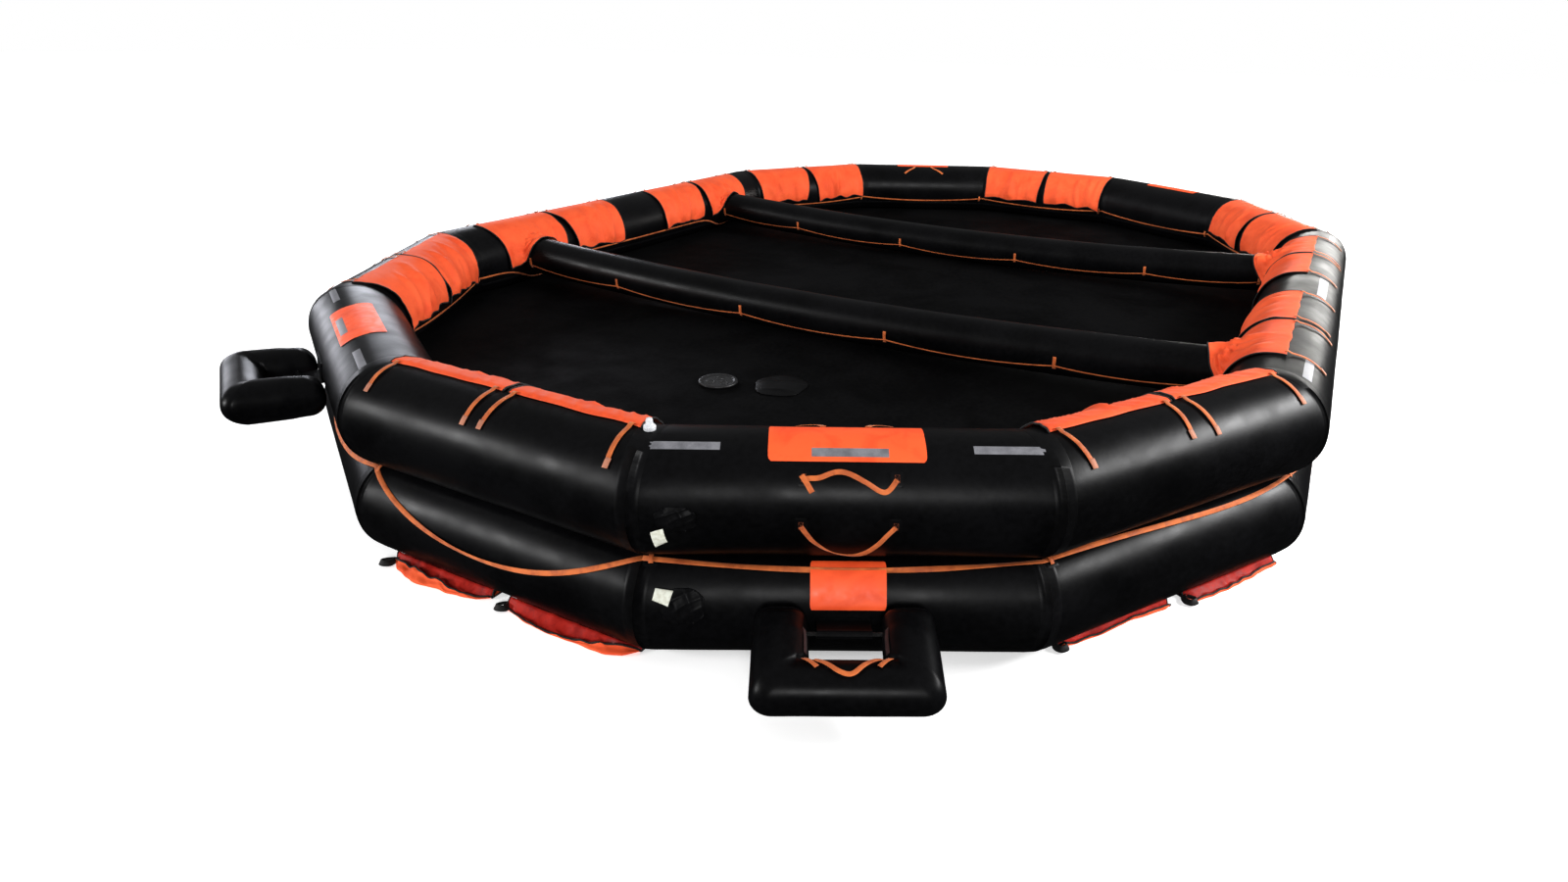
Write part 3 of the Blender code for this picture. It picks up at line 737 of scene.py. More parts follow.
def make_thwart_lines():
    for name, x in (("thwart_line_front", -THWART_X), ("thwart_line_rear", THWART_X)):
        builder = Builder()
        tabs = Builder()
        share = np.arange(18) / 18
        bays = []
        for first, second in zip(LINE_HOLDS, LINE_HOLDS[1:]):
            sag = LINE_SAG * (second - first) / LINE_BAY
            turn = np.radians(LINE_TURN + sag * 4 * share * (1 - share))
            away = THWART_R + 0.005 + 0.004 * np.sin(math.pi * share)
            bays.append(round_thwart(x, first + (second - first) * share, turn, away))
        end = round_thwart(x, LINE_HOLDS[-1], np.radians([LINE_TURN]), THWART_R + 0.005)
        points = np.concatenate([*bays, end])
        normals = np.stack(
            [points[:, 0] - x, 0 * points[:, 0], points[:, 2] - thwart_height(points[:, 1])], -1
        )
        sweep_strap(builder, points, unit(normals), WEBBING["thwart line"])
        builder.piece(name + "_webbing", "raft", STRAP, [name])
        for y in LINE_HOLDS:
            turn = np.radians(np.linspace(176, 208, 9))
            outward = np.stack([np.cos(turn), np.zeros(9), np.sin(turn)], -1)
            spots = round_thwart(x, y, turn, THWART_R + 0.0035)
            sweep_strap(tabs, spots, outward, WEBBING["thwart tab"])
        tabs.piece(name + "_tabs", "raft", STRAP)


# Pockets

STRAP_ENDS = (-0.705, -0.0575, 0.0575, 0.705)  # along each pair of pockets
POCKET_EDGE = 0.75  # from the middle of a pair
DRAPE_FROM = 88.5  # degrees round the tube, from its top
DRAPE_TO = 189
LEAST_LIFT = 0.0032
HEM_R = 0.0042
LIP_R = 0.0046
LIP_END_R = 0.0040


def fold_lines(flat, size, seed, count, width, height):
    """Soft folds that run down the cloth, each a crest with a valley beside it."""
    random = np.random.default_rng(seed)
    down = flat[..., 1] / size[1]
    total = np.zeros(down.shape)
    for _ in range(count):
        start = random.uniform(0.05, 0.95) * size[0]
        lean = random.uniform(-0.30, 0.30) * size[0]
        bow = random.uniform(-0.06, 0.06) * size[0]
        wide = width * random.uniform(0.6, 1.6) * (0.55 + 0.6 * down)
        off = (flat[..., 0] - start - lean * down - bow * np.sin(math.pi * down)) / wide
        crest = np.exp(-off**2) - 0.55 * np.exp(-((off - 1.7) ** 2) / 1.4)
        first = random.uniform(0.0, 0.45)
        reach = smooth(first, first + 0.3, down) * (1 - 0.5 * smooth(0.85, 1.0, down))
        total += height * random.uniform(0.45, 1.0) * crest * reach
    return total


def bunching(points, number, seed):
    """How far the cloth bunches up round a thwart's end, which presses on it."""
    off_x = points[..., 0] - np.where(points[..., 0] < 0, -THWART_X, THWART_X)
    off_z = points[..., 2] - thwart_height(points[..., 1])
    turn = np.arctan2(off_z, off_x)
    ring = np.exp(-(((np.hypot(off_x, off_z) - THWART_R - 0.015) / 0.05) ** 2))
    ripple = 0.62 + 0.38 * np.sin(6 * turn + seed) * np.sin(11 * turn + 2 * seed)
    near = number == 3
    return (0.055 if near else 0.028) * ring * ripple * smooth(-0.35, 0.35, np.sin(turn))


# How far each pocket of a pair draws back from the other at its hem
GAP_AT_HEM = {2: 0.05, 4: 0.04, 6: 0.03, 8: 0.075, 10: 0.002, 12: 0.04}


def over_thwart(points, number, degrees, lift):
    """Lay the cloth that reaches a thwart's end on the thwart's top instead of on the tube."""
    side = SIDES[number]
    off_x = points[..., 0] - np.where(points[..., 0] < 0, -THWART_X, THWART_X)
    half = np.sqrt(np.maximum((THWART_R + lift) ** 2 - off_x**2, 0))
    top = thwart_height(thwart_end(UPPER_Z)) + half
    meets = 180 - np.degrees(np.arcsin(np.clip((top - UPPER_Z) / (TUBE_R + 0.004), -1, 1)))
    beyond = np.maximum(np.radians(degrees - meets) * TUBE_R, 0) * (0.75 if number == 3 else 0.55)
    turn = np.radians(np.minimum(degrees, meets))
    out = np.abs(side.middle[1]) + (TUBE_R + lift) * np.cos(turn) - beyond
    height = np.where(
        degrees > meets, thwart_height(out) + half, UPPER_Z + (TUBE_R + lift) * np.sin(turn)
    )
    laid = np.stack([points[..., 0], np.sign(side.middle[1]) * out, height], -1)
    share = (
        smooth(THWART_R + 0.075, THWART_R + 0.005, np.abs(off_x)) * smooth(-6, 4, degrees - meets)
    )
    return points + share[..., None] * (laid - points)


def upper_pocket(number, centre, low, high, seed):
    """Points of one empty pocket draped from the tube's top over its inner side."""
    random = np.random.default_rng(seed)
    u, v = unit_grid(52, 52)
    size = (high - low, 0.5)
    flat = np.stack([u * size[0], v * size[1]], -1)
    start = DRAPE_FROM + 1.1 * waves(flat[..., :1], seed, 0.28)
    corners = random.uniform(-4, 9, 2)
    hem = (
        DRAPE_TO + corners[0] * (1 - u) ** 3 + corners[1] * u**3
        + 3.5 * waves(flat[..., :1], seed + 3, 0.34)
    )
    degrees = start + (hem - start) * v
    side = SIDES[number]
    pulled = random.uniform(-0.012, 0.030, 2)
    pulled[1 if low < 0 else 0] = GAP_AT_HEM.get(number, 0.055) + random.uniform(0.0, 0.02)
    edges = (1 - u) ** 2 * pulled[0] - u**2 * pulled[1]
    along = (
        low + size[0] * u + edges * v**1.4 + 0.006 * waves(flat, seed + 5, 0.3) * np.abs(2 * u - 1)
    )
    taper = side.half(np.radians(degrees)) / (side.length / 2)
    along = (centre + along) * taper
    lift = 0.004 + 0.009 * swell(flat, seed + 13, 0.42) * smooth(0.05, 0.35, v)
    lift += fold_lines(flat, size, seed + 7, 5, 0.042, 0.016)
    lift += fold_lines(flat, size, seed + 8, 4, 0.018, 0.006)
    lift += 0.006 * waves(flat, seed + 15, 0.16) * smooth(0.55, 1.0, v)
    loose = smooth(0.10, 0.0, u) + smooth(0.90, 1.0, u)
    lift += loose * smooth(0.1, 0.5, v) * (0.004 + 0.008 * swell(flat, seed + 17, 0.25))
    lift += 0.010 * smooth(0.75, 1.0, v) * swell(flat[..., :1], seed + 19, 0.2)
    lift = np.maximum(lift, LEAST_LIFT)
    if number in LONG_SIDES:
        lift = lift + bunching(on_tube(number, True, along, degrees, 0.004), number, seed)
    lift = np.minimum(lift, 0.004 + 0.05 * smooth(-0.02, 0.30, v))
    if number in (2, 12):
        lift = (
            lift + 0.009 * (1 + ridges(flat, seed + 21, (1.0, 0.8), 0.065, 0.03))
            * smooth(0.0, 0.05, v) * smooth(0.4, 0.2, v)
        )
    points = on_tube(number, True, along, degrees, lift)
    if number in LONG_SIDES:
        points = over_thwart(points, number, degrees, lift)
    return points


def make_upper_pockets(tag, number, centre, seed):
    builder = Builder()
    hems = Builder()
    gap = 0.004 if number == 10 else 0.014
    for index, (low, high) in enumerate(((-POCKET_EDGE, -gap), (gap, POCKET_EDGE))):
        points = upper_pocket(number, centre, low, high, seed + 100 * index)
        builder.grid(points)
        for edge in (points[0], points[-1], points[:, -1]):
            sweep_round(hems, edge, HEM_R, 6)
    cloth = builder.make(f"pockets_upper_{tag}")
    solidify(cloth, CLOTH_THICK, 0.0)
    finish_piece(cloth, "raft", ORANGE, [f"upper_pockets_{tag}"])
    hems.piece(f"pocket_hems_{tag}", "raft", HEM_BLACK)


def make_pocket_straps():
    """The tie straps outside each pair of pockets, each with a sewn end."""
    builder = Builder()
    ends = Builder()
    places = [(number, 0.0) for number in POCKET_SIDES]
    places += [(number, centre) for number in LONG_SIDES for centre in (-LONG_PAIR, LONG_PAIR)]
    random = np.random.default_rng(4)
    for number, centre in places:
        for along in STRAP_ENDS:
            lean = random.uniform(-0.03, 0.03)
            stop = random.uniform(40, 47)
            t = np.linspace(0, 1, 26)
            degrees = 91 + (stop - 91) * t
            spot = centre + along + lean * t**1.5
            lift = (
                0.0035 + 0.010 * np.exp(-((t - 0.05) / 0.07) ** 2)
                + 0.006 * np.sin(math.pi * t) * random.uniform(0.2, 1.2)
            )
            points = on_tube(number, True, spot, degrees, lift)
            sweep_strap(builder, points, tube_normal(number, degrees), WEBBING["pocket strap"])
            t = np.linspace(0, 1, 7)
            degrees = stop + 6 - 9 * t
            points = on_tube(number, True, spot[-1], degrees, 0.0062)
            sweep_strap(ends, points, tube_normal(number, degrees), WEBBING["pocket strap end"])
    builder.piece("pocket_straps", "raft", STRAP)
    ends.piece("pocket_strap_ends", "raft", STRAP_TIP)


# How an empty pocket of the other face lies, crushed on the ground: share of its length, how far
# out its outer edge reaches on the ground, and how far out and how high its black hem is.
GAPING = (
    (0.00, 0.190, 0.185, 0.012), (0.13, 0.246, 0.215, 0.036), (0.35, 0.284, 0.235, 0.046),
    (0.56, 0.270, 0.245, 0.040), (0.80, 0.252, 0.243, 0.022), (0.92, 0.232, 0.225, 0.014),
    (1.00, 0.182, 0.178, 0.010),
)
FLATTENED = (
    (0.00, 0.206, 0.200, 0.012), (0.12, 0.230, 0.226, 0.012), (0.32, 0.256, 0.253, 0.012),
    (0.55, 0.250, 0.246, 0.013), (0.70, 0.248, 0.234, 0.024), (0.84, 0.242, 0.205, 0.042),
    (0.94, 0.212, 0.180, 0.034), (1.00, 0.150, 0.146, 0.012),
)
TUCKED = (
    (0.00, 0.158, 0.152, 0.012), (0.12, 0.178, 0.172, 0.014), (0.35, 0.184, 0.178, 0.012),
    (0.60, 0.175, 0.168, 0.014), (0.80, 0.184, 0.174, 0.020), (0.94, 0.198, 0.188, 0.020),
    (1.00, 0.184, 0.180, 0.012),
)
BANDED = (
    (0.00, 0.170, 0.165, 0.012), (0.06, 0.222, 0.215, 0.015), (0.20, 0.231, 0.224, 0.016),
    (0.50, 0.228, 0.220, 0.018), (0.80, 0.212, 0.202, 0.022), (0.95, 0.206, 0.194, 0.024),
    (1.00, 0.200, 0.192, 0.018),
)
LOWER_POCKETS = {
    12: ((-0.745, -0.075, GAPING), (0.035, 0.785, FLATTENED)),
    2: ((-0.66, 0.03, TUCKED), (0.15, 0.82, BANDED))
}
OTHER_LOWER_POCKETS = (
    ((-0.76, -0.05, GAPING), (0.05, 0.76, BANDED)),
    ((-0.75, -0.04, FLATTENED), (0.06, 0.77, TUCKED)),
    ((-0.77, -0.06, BANDED), (0.04, 0.76, GAPING)),
    ((-0.76, -0.04, TUCKED), (0.05, 0.77, FLATTENED)),
)
POCKET_LIP = 27  # which column of the pocket's grid is its hem


def lower_pocket(number, centre, low, high, lie, seed):
    """Points of one pocket of the other face, from under the tube to its hem and into its mouth."""
    rows = 60
    columns = 44
    share, edges, hems, heights = np.array(lie).T
    u = np.linspace(0, 1, rows)
    place = u[:, None] * 0.7
    wander = 0.004 * waves(place, seed, 0.16)
    edge = np.interp(u, share, edges) + wander
    hem = np.interp(u, share, hems) + wander
    high_at = np.interp(u, share, heights) * (1 + 0.25 * waves(place, seed + 1, 0.12))
    back = np.minimum(0.165, hem - 0.03)
    trough = 0.010 + 0.3 * high_at + 0.006 * waves(place, seed + 2, 0.2)
    inner = np.full(rows, 0.092)
    ground = np.full(rows, 0.004)
    section = [
        (inner, ground), (0.5 * (inner + edge), ground), (edge - 0.010, ground),
        (edge, 0.004 + 0.35 * high_at), (hem + 0.35 * (edge - hem), 0.75 * high_at), (hem, high_at),
        (hem - 0.010, high_at - 0.002), (0.5 * (hem + back) + 0.008, trough),
        (back, np.full(rows, 0.05)),
    ]
    section = np.array([np.stack([out, up], -1) for out, up in section])
    curves = curve_through(section.reshape(len(section), -1), columns)
    out, up = curves.reshape(columns, rows, 2).transpose(2, 1, 0)
    v = np.broadcast_to(np.linspace(0, 1, columns), out.shape)
    flat = np.stack([np.broadcast_to(u[:, None] * (high - low), out.shape), v * 0.35], -1)
    crushed = smooth(0.25, 0.45, v)
    creases = ridges(flat, seed + 6, (1.0, 0.9), 0.075, 0.05)
    creases = creases + ridges(flat, seed + 8, (0.8, -1.0), 0.11, 0.05)
    up = up + 0.006 * crushed * creases
    up = up + 0.012 * smooth(0.68, 0.85, v) * ridges(flat, seed + 9, (1.0, 0.3), 0.13, 0.06)
    along = centre + low + (high - low) * u[:, None] + 0.010 * waves(flat, seed + 9, 0.22) * crushed
    under_tube = LOWER_Z - np.sqrt(np.maximum(TUBE_R**2 - out**2, 0)) - 0.004
    up = np.clip(up, 0.0035, np.maximum(under_tube, 0.0035))
    side = SIDES[number]
    return (
        side.middle + along[..., None] * side.along + out[..., None] * side.outward
        + up[..., None] * UP
    )


def pocket_loop(builder, number, along, reach):
    """A short black loop of webbing at a lower pocket's end, lying on the ground."""
    route = np.array([
        (0.030, -0.075, 0.012), (-0.004, -0.055, 0.010), (-0.028, -0.024, 0.012),
        (-0.026, 0.008, 0.018), (0.004, 0.016, 0.022), (0.026, -0.008, 0.016),
        (0.016, -0.045, 0.012),
    ])
    points = curve_through(route, 36)
    side = SIDES[number]
    spots = (
        side.middle + (along + points[:, :1]) * side.along + (reach + points[:, 1:2]) * side.outward
    )
    spots = spots + (points[:, 2:] + 0.004) * UP
    out = unit(spots - spots.mean(axis=0))
    sweep_strap(builder, spots, unit(out * [1, 1, 0] + 0.6 * UP), WEBBING["pocket loop"])


def make_lower_pockets(tag, number, centre, pair, seed):
    """A pair of pockets of the other face: outer cloth, the inside of each mouth in dark red as
    painted shade, and black lips.
    """
    outer = Builder()
    inner = Builder()
    hems = Builder()
    for index, (low, high, lie) in enumerate(pair):
        points = lower_pocket(number, centre, low, high, lie, seed + 100 * index)
        outer.grid(points[:, : POCKET_LIP + 1], flip=True)
        inner.grid(points[:, POCKET_LIP:], flip=True)
        sweep_round(hems, points[:, POCKET_LIP], LIP_R, 6)
        sweep_round(hems, points[0], LIP_END_R, 6)
        sweep_round(hems, points[-1], LIP_END_R, 6)
        pocket_loop(hems, number, centre + low, lie[1][1])
    cloth = outer.make(f"pockets_lower_{tag}")
    solidify(cloth, CLOTH_THICK, 0.0)
    finish_piece(cloth, "raft", ORANGE, [f"lower_pockets_{tag}"])
    # The inside of each mouth, past the hem, is coloured dark red as painted shade
    painted_mouth_shade = inner.make(f"pocket_mouths_painted_shade_{tag}")
    solidify(painted_mouth_shade, CLOTH_THICK, 0.0)
    finish_piece(painted_mouth_shade, "raft", POCKET_MOUTH_PAINTED_SHADE)
    hems.piece(f"pocket_lips_{tag}", "raft", HEM_BLACK)


def make_pockets():
    places = [(str(number), number, 0.0) for number in POCKET_SIDES]
    for number in LONG_SIDES:
        places.append((f"{number}a", number, -LONG_PAIR))
        places.append((f"{number}b", number, LONG_PAIR))
    for index, (tag, number, centre) in enumerate(places):
        make_upper_pockets(tag, number, centre, 200 + 17 * index)
        pair = LOWER_POCKETS.get(number, OTHER_LOWER_POCKETS[index % 4])
        make_lower_pockets(tag, number, centre, pair, 700 + 13 * index)
    make_pocket_straps()


# Lifelines

# Degrees above outward at the corners, and how far each side sags from there
INNER_CORNER = 196
INNER_SAG = 7
INNER_UNDER_THWART = 27
OUTER_CORNER = 59
OUTER_SAGS = (11, 9, 28, 30, 28, 30, 11, 9, 28, 30, 32, 53)
OUTER_SKEW = {2: 1.9, 8: 1.9}  # over 1 moves the deepest place towards the side's far end


def line_route(upper, angle_at, counts):
    """A line round the ring, held at the corners. Counts are its points on short and long sides."""
    points = []
    normals = []
    for number, side in SIDES.items():
        share = np.arange(counts[number in LONG_SIDES]) / counts[number in LONG_SIDES]
        degrees = angle_at(number, share)
        along = side.half(np.radians(degrees)) * (2 * share - 1)
        lift = 0.004 + 0.006 * np.sin(math.pi * share)
        points.append(on_tube(number, upper, along, degrees, lift))
        normals.append(tube_normal(number, degrees))
    return np.concatenate(points), np.concatenate(normals)


def outer_angle(number, share):
    bays = 2 if number in LONG_SIDES else 1
    part = (share * bays % 1.0) ** OUTER_SKEW.get(number, 1.0)
    return OUTER_CORNER - OUTER_SAGS[number - 1] * 4 * part * (1 - part)


def inner_angle(number, share):
    if number not in LONG_SIDES:
        return INNER_CORNER + INNER_SAG * 4 * share * (1 - share)
    from_thwart = np.abs(share - 0.5) * SIDES[number].length - THWART_X
    return INNER_CORNER + INNER_UNDER_THWART * np.exp(-((from_thwart / 0.25) ** 2))


def make_lifeline(name, upper, angle_at, counts, amount, seed):
    points, normals = line_route(upper, angle_at, counts)
    points = np.vstack([points, points[:1]])
    normals = np.vstack([normals, normals[:1]])
    random = np.random.default_rng(seed)
    places = np.linspace(0, 2 * math.pi * 12, len(points))
    twist = np.zeros(len(points))
    for _ in range(3):
        twist += amount / 3 * np.sin(places / 12 * random.integers(9, 30) + random.uniform(0, 6))
    twist *= np.abs(np.sin(places / 2)) ** 0.6
    builder = Builder()
    sweep_strap(builder, points, normals, WEBBING[name], twist)
    builder.piece(name + "_webbing", "raft", STRAP, [name])


def make_line_anchors():
    """A patch and a short loop of webbing at each corner, where a lifeline is held."""
    patches = Builder()
    loops = Builder()
    for number in SIDES:
        for upper, degrees in ((False, OUTER_CORNER), (True, INNER_CORNER)):
            middle = SIDES[number].half(np.radians(degrees)) * -1
            patch(
                patches, number, upper, middle + 0.004, middle + 0.065, degrees - 8, degrees + 8,
                0.0012, 0.0012
            )
            t = np.linspace(0, 1, 14)
            angles = degrees + 1 + 6.5 * (1 - 2 * t)
            lift = 0.0045 + 0.009 * np.sin(math.pi * t)
            points = on_tube(number, upper, middle + 0.036, angles, lift)
            sweep_strap(loops, points, tube_normal(number, angles), WEBBING["line loop"])
    patches.piece("line_patches", "raft", TAPE_BLACK)
    loops.piece("line_loops", "raft", STRAP)


# Labels, flaps, tapes and handles on the bare sides

# Places on a tube: along it from and to, and degrees above outward from and to
LABEL_BOX = (-0.312, 0.312, 52.5, 104)
LABEL_TAPE_BOX = (-0.141, 0.163, 57, 66)
LOW_FLAP_BOX = (-0.138, 0.174, 14.5, 56.5)
HIGH_FLAP_BOX = (-0.138, 0.174, -56.5, -14.5)
BARE_SIDE_TAPES = ((-0.785, -0.50, 63, 72), (0.50, 0.785, 61.5, 70.5))
LONG_SIDE_TAPES = ((-2.05, -1.73, 58, 69), (1.73, 2.05, 58, 69), (-0.27, 0.27, 57, 71))
SHEET_THICK = 0.0016
TAPE_THICK = 0.0007
GLUED = 0.0006  # lift of what is glued on a tube
OVER_LABEL = 0.0026
OVER_TAB = 0.0105
TAPE_CELLS = (12, 6)
FLAP_CELLS = (16, 20)


def strap_on_tube(builder, number, upper, route, size, samples, twist=None):
    """A strap through (along, degrees, lift) on a tube."""
    along, degrees, lift = curve_through(route, samples).T
    points = on_tube(number, upper, along, degrees, lift)
    if twist is not None:
        twist = np.interp(np.linspace(0, 1, samples), np.linspace(0, 1, len(twist)), twist)
    sweep_strap(builder, points, tube_normal(number, degrees), size, twist)


def stitches(builder, number, upper, low_along, high_along, low, high, lift):
    """A box of stitches with its diagonals, on a tube."""
    corners = [(low_along, low), (high_along, low), (high_along, high), (low_along, high)]
    lines = (
        list(zip(corners, corners[1:] + corners[:1]))
        + [(corners[0], corners[2]), (corners[1], corners[3])]
    )
    for (a0, d0), (a1, d1) in lines:
        run = math.hypot(a1 - a0, math.radians(d1 - d0) * TUBE_R)
        count = max(2, int(run / 0.0055))
        for index in range(count):
            share = (index + np.array([0.18, 0.82])) / count
            points = on_tube(number, upper, a0 + (a1 - a0) * share, d0 + (d1 - d0) * share, lift)
            sweep_round(builder, points, 0.0006, 5)


# Routes on a tube: along it, degrees above outward, and lift
OVER_HANDLE = (
    (-0.172, 37, 0.006), (-0.148, 37.5, 0.006), (-0.110, 38, 0.010), (-0.050, 42, 0.020),
    (0.000, 41, 0.022), (0.070, 34, 0.022), (0.125, 27.5, 0.014), (0.157, 28, 0.006),
    (0.191, 37, 0.006),
)
OVER_TOGGLE = ((-0.180, 40, 0.009), (-0.158, 33, 0.010), (-0.138, 26, 0.009))
HANDLE_TWIST = (0, 0, 0.2, 0.5, 0.2, -0.3, -0.2, 0, 0)
PULL_STRAP = ((0.09, 103, 0.004), (0.12, 114, 0.006), (0.19, 126, 0.006), (0.23, 134, 0.004))
UNDER_HANDLE = (
    (-0.180, -3, 0.006), (-0.156, -11, 0.006), (-0.125, -19, 0.012), (-0.06, -29, 0.020),
    (0.01, -33.5, 0.022), (0.07, -31, 0.020), (0.120, -22, 0.012), (0.160, -11, 0.006),
    (0.190, -3, 0.006),
)


def make_side_fittings():
    """Labels, boarding flaps, tapes, pull straps and handles."""
    grey = Builder()
    patches = Builder()
    thread = Builder()
    pulls = Builder()
    for number in RAMP_SIDES:
        label = Builder()
        patch(label, number, True, *LABEL_BOX, GLUED, SHEET_THICK, (24, 24), 0.012)
        label.piece(f"label_{number}_sheet", "raft", LABEL, [f"label_{number}"])
        flap = Builder()
        if number in LOW_RAMPS:
            patch(flap, number, False, *LOW_FLAP_BOX, OVER_TAB, SHEET_THICK, FLAP_CELLS, 0.006)
        else:
            patch(flap, number, True, *HIGH_FLAP_BOX, GLUED, SHEET_THICK, FLAP_CELLS, 0.006)
        name = f"boarding_flap_{number}"
        flap.piece(name + "_sheet", "raft", LABEL, [name])
        patch(grey, number, True, *LABEL_TAPE_BOX, OVER_LABEL, TAPE_THICK, TAPE_CELLS)
        for box in BARE_SIDE_TAPES:
            patch(grey, number, True, *box, GLUED, TAPE_THICK, TAPE_CELLS)
        # Pull straps inside, from under the label's ends down the tube's inner side.
        if number in LOW_RAMPS:
            for sign in (-1, 1):
                route = [(sign * along, degrees, lift) for along, degrees, lift in PULL_STRAP]
                strap_on_tube(pulls, number, True, route, WEBBING["pull strap"], 20)
    for number in LOW_RAMPS:
        for name, route in (("handle_over", OVER_HANDLE), ("handle_under", UNDER_HANDLE)):
            handle = Builder()
            strap_on_tube(handle, number, True, route, WEBBING["handle"], 60, HANDLE_TWIST)
            if name == "handle_over":
                strap_on_tube(handle, number, True, OVER_TOGGLE, WEBBING["toggle"], 12)
            node = f"{name}_{number}"
            handle.piece(node + "_strap", "raft", STRAP, [node])
            for spot, degrees, _ in (route[0], route[-1]):
                patch(
                    patches, number, True, spot - 0.026, spot + 0.026, degrees - 6, degrees + 7,
                    0.0004, 0.0010, (14, 14), 0.012
                )
                stitches(
                    thread, number, True, spot - 0.009, spot + 0.009, degrees - 2.5, degrees + 4,
                    0.0082
                )
    for number in LONG_SIDES:
        for box in LONG_SIDE_TAPES:
            patch(grey, number, True, *box, GLUED, TAPE_THICK, TAPE_CELLS)
    grey.piece("reflective_tapes", "raft", TAPE_GREY)
    patches.piece("handle_patches", "raft", TAPE_BLACK)
    thread.piece("handle_stitches", "raft", THREAD)
    pulls.piece("pull_straps", "raft", STRAP)


# Name, whether on the upper tube, place of the cover, and the corners of its tag
VALVE_COVERS = (
    ("valve_cover_upper", True, (-0.745, -0.585, -9, 13),
     ((-0.763, -8), (-0.712, -4), (-0.750, -26), (-0.699, -18))),
    ("valve_cover_lower", False, (-0.745, -0.565, 0, 32),
     ((-0.763, 32), (-0.690, 30), (-0.776, 22), (-0.712, 17))),
)


def make_valve_covers():
    """Loose black covers over the valves on side 1, each with a blank card tag."""
    for name, upper, box, tag_at in VALVE_COVERS:
        u, v = unit_grid(34, 34)
        flat = np.stack([u * 0.17, v * 0.13], -1)
        r = np.hypot(2 * u - 1, 2 * v - 1)
        squeeze = 1 / np.maximum(1.0, r / 1.05)
        along = box[0] + (box[1] - box[0]) * (0.5 + (u - 0.5) * squeeze)
        degrees = box[2] + (box[3] - box[2]) * (0.5 + (v - 0.5) * squeeze)
        along = along + 0.006 * waves(flat, 3, 0.07)
        dome = 0.010 * np.clip(1 - r**2, 0, 1)
        lift = (
            0.0015 + dome + 0.009 * ridges(flat, 5, (1, 0.4), 0.05, 0.012)
            + 0.006 * ridges(flat, 8, (-0.5, 1), 0.04, 0.01)
        )
        edge = smooth(1.35, 1.1, r)
        builder = Builder()
        builder.grid(on_tube(1, upper, along, degrees, 0.001 + lift * edge), flip=True)
        cover = builder.make(name + "_cloth")
        solidify(cover, COVER_THICK, 1.0)
        finish_piece(cover, "raft", TAPE_BLACK, [name])
        tag = Builder()
        u, v = unit_grid(10, 10)
        along, degrees = (
            (a * (1 - u) + b * u) * v + (c * (1 - u) + d * u) * (1 - v)
            for a, b, c, d in zip(*tag_at)
        )
        lift = 0.016 + 0.010 * (u - 0.3) ** 2 + 0.006 * np.sin(2.5 * v)
        tag.grid(on_tube(1, upper, along, degrees, lift), flip=True)
        card = tag.make(name.replace("cover", "tag"))
        solidify(card, CARD_THICK, 1.0)
        finish_piece(card, "raft", TAG_WHITE)


# Ramps

ARM_R = 0.106  # an arm's radius by the hinge
ARM_WIDE = 0.112  # and along the rest of it
BAR_R = 0.103
ARM_APART = 0.257  # from the ramp's middle to an arm's centre line
RAMP_REACH = 0.26  # from the hinge to the bar's centre line
RAMP_CORNER = 0.065  # the bend's radius, on the side away from the ramp's middle
STRIP_ANGLE = math.radians(30)  # above the ramp's plane, on the arms' inner sides
LACING_R = 0.0042
LACING_PITCH = 0.014  # length of one radian of the lacing's turn
LOW_TILT = -13  # degrees that the arms point up at rest, so here down
HIGH_TILT = 2.8


def ramp_half(radius, turns, rows):
    """The left half of a ramp's bent tube: an arm, a corner mitred inside, half the end bar."""
    arm, corner_turn, bar = rows
    inward = radius * np.cos(turns)
    bend = 0.004 + (RAMP_CORNER - 0.004) * (1 - inward / np.maximum(radius, 0.001)) / 2
    x = inward - ARM_APART + bend * (1 - np.cos(corner_turn)) + bar * (ARM_APART - inward - bend)
    y = (RAMP_REACH - inward - bend) * arm + bend * np.sin(corner_turn)
    return np.stack([x, y, radius * np.sin(turns)], -1)


def arm_end(sign, turns):
    """The end of an arm by the hinge: flat sides, and rounded about the hinge's own axis."""
    shares = np.array([0.02, 0.2, 0.38, 0.54, 0.68, 0.79, 0.87, 0.93, 0.965, 0.985, 0.996])
    across = shares[:, None] * ARM_R * np.cos(turns)
    up = shares[:, None] * ARM_R * np.sin(turns)
    wide = np.sqrt(ARM_R**2 - up**2)
    reach = wide * (1 - np.minimum(np.abs(across) / wide, 1) ** 4.5) ** (1 / 4.5)
    return np.stack([sign * (ARM_APART - across), -reach, up], -1)


def ramp_frame(joint):
    """Matrix from a ramp's own plane to the raft: X along the hinge, Y out along the arms, Z up."""
    number = int(joint["child"].split("_")[1])
    axis = Vector(joint["axis"])
    tilt = math.radians(LOW_TILT if number in LOW_RAMPS else HIGH_TILT)
    outward = Vector((0, 0, 1)).cross(axis)
    arms = outward * math.cos(tilt) + Vector((0, 0, 1)) * math.sin(tilt)
    matrix = Matrix((axis, arms, axis.cross(arms))).transposed().to_4x4()
    matrix.translation = Vector(joint["pos_m"])
    return number, matrix


def rotated(vectors, matrix):
    return vectors @ np.array(matrix.to_3x3()).T


def placed(points, matrix):
    return rotated(points, matrix) + np.array(matrix.translation)


RAMP_GRIP = (
    (-0.130, 128, 0.003), (-0.105, 117, 0.008), (-0.060, 97, 0.015), (-0.012, 77, 0.018),
    (0.035, 82, 0.017), (0.080, 101, 0.012), (0.108, 115, 0.006), (0.126, 124, 0.003),
)
RAMP_GRIP_ENDS = (
    ((-0.166, 131, 0.005), (-0.142, 114, 0.0065), (-0.116, 97, 0.006)),
    ((0.168, 131, 0.005), (0.143, 114, 0.0065), (0.116, 96, 0.006)),
)


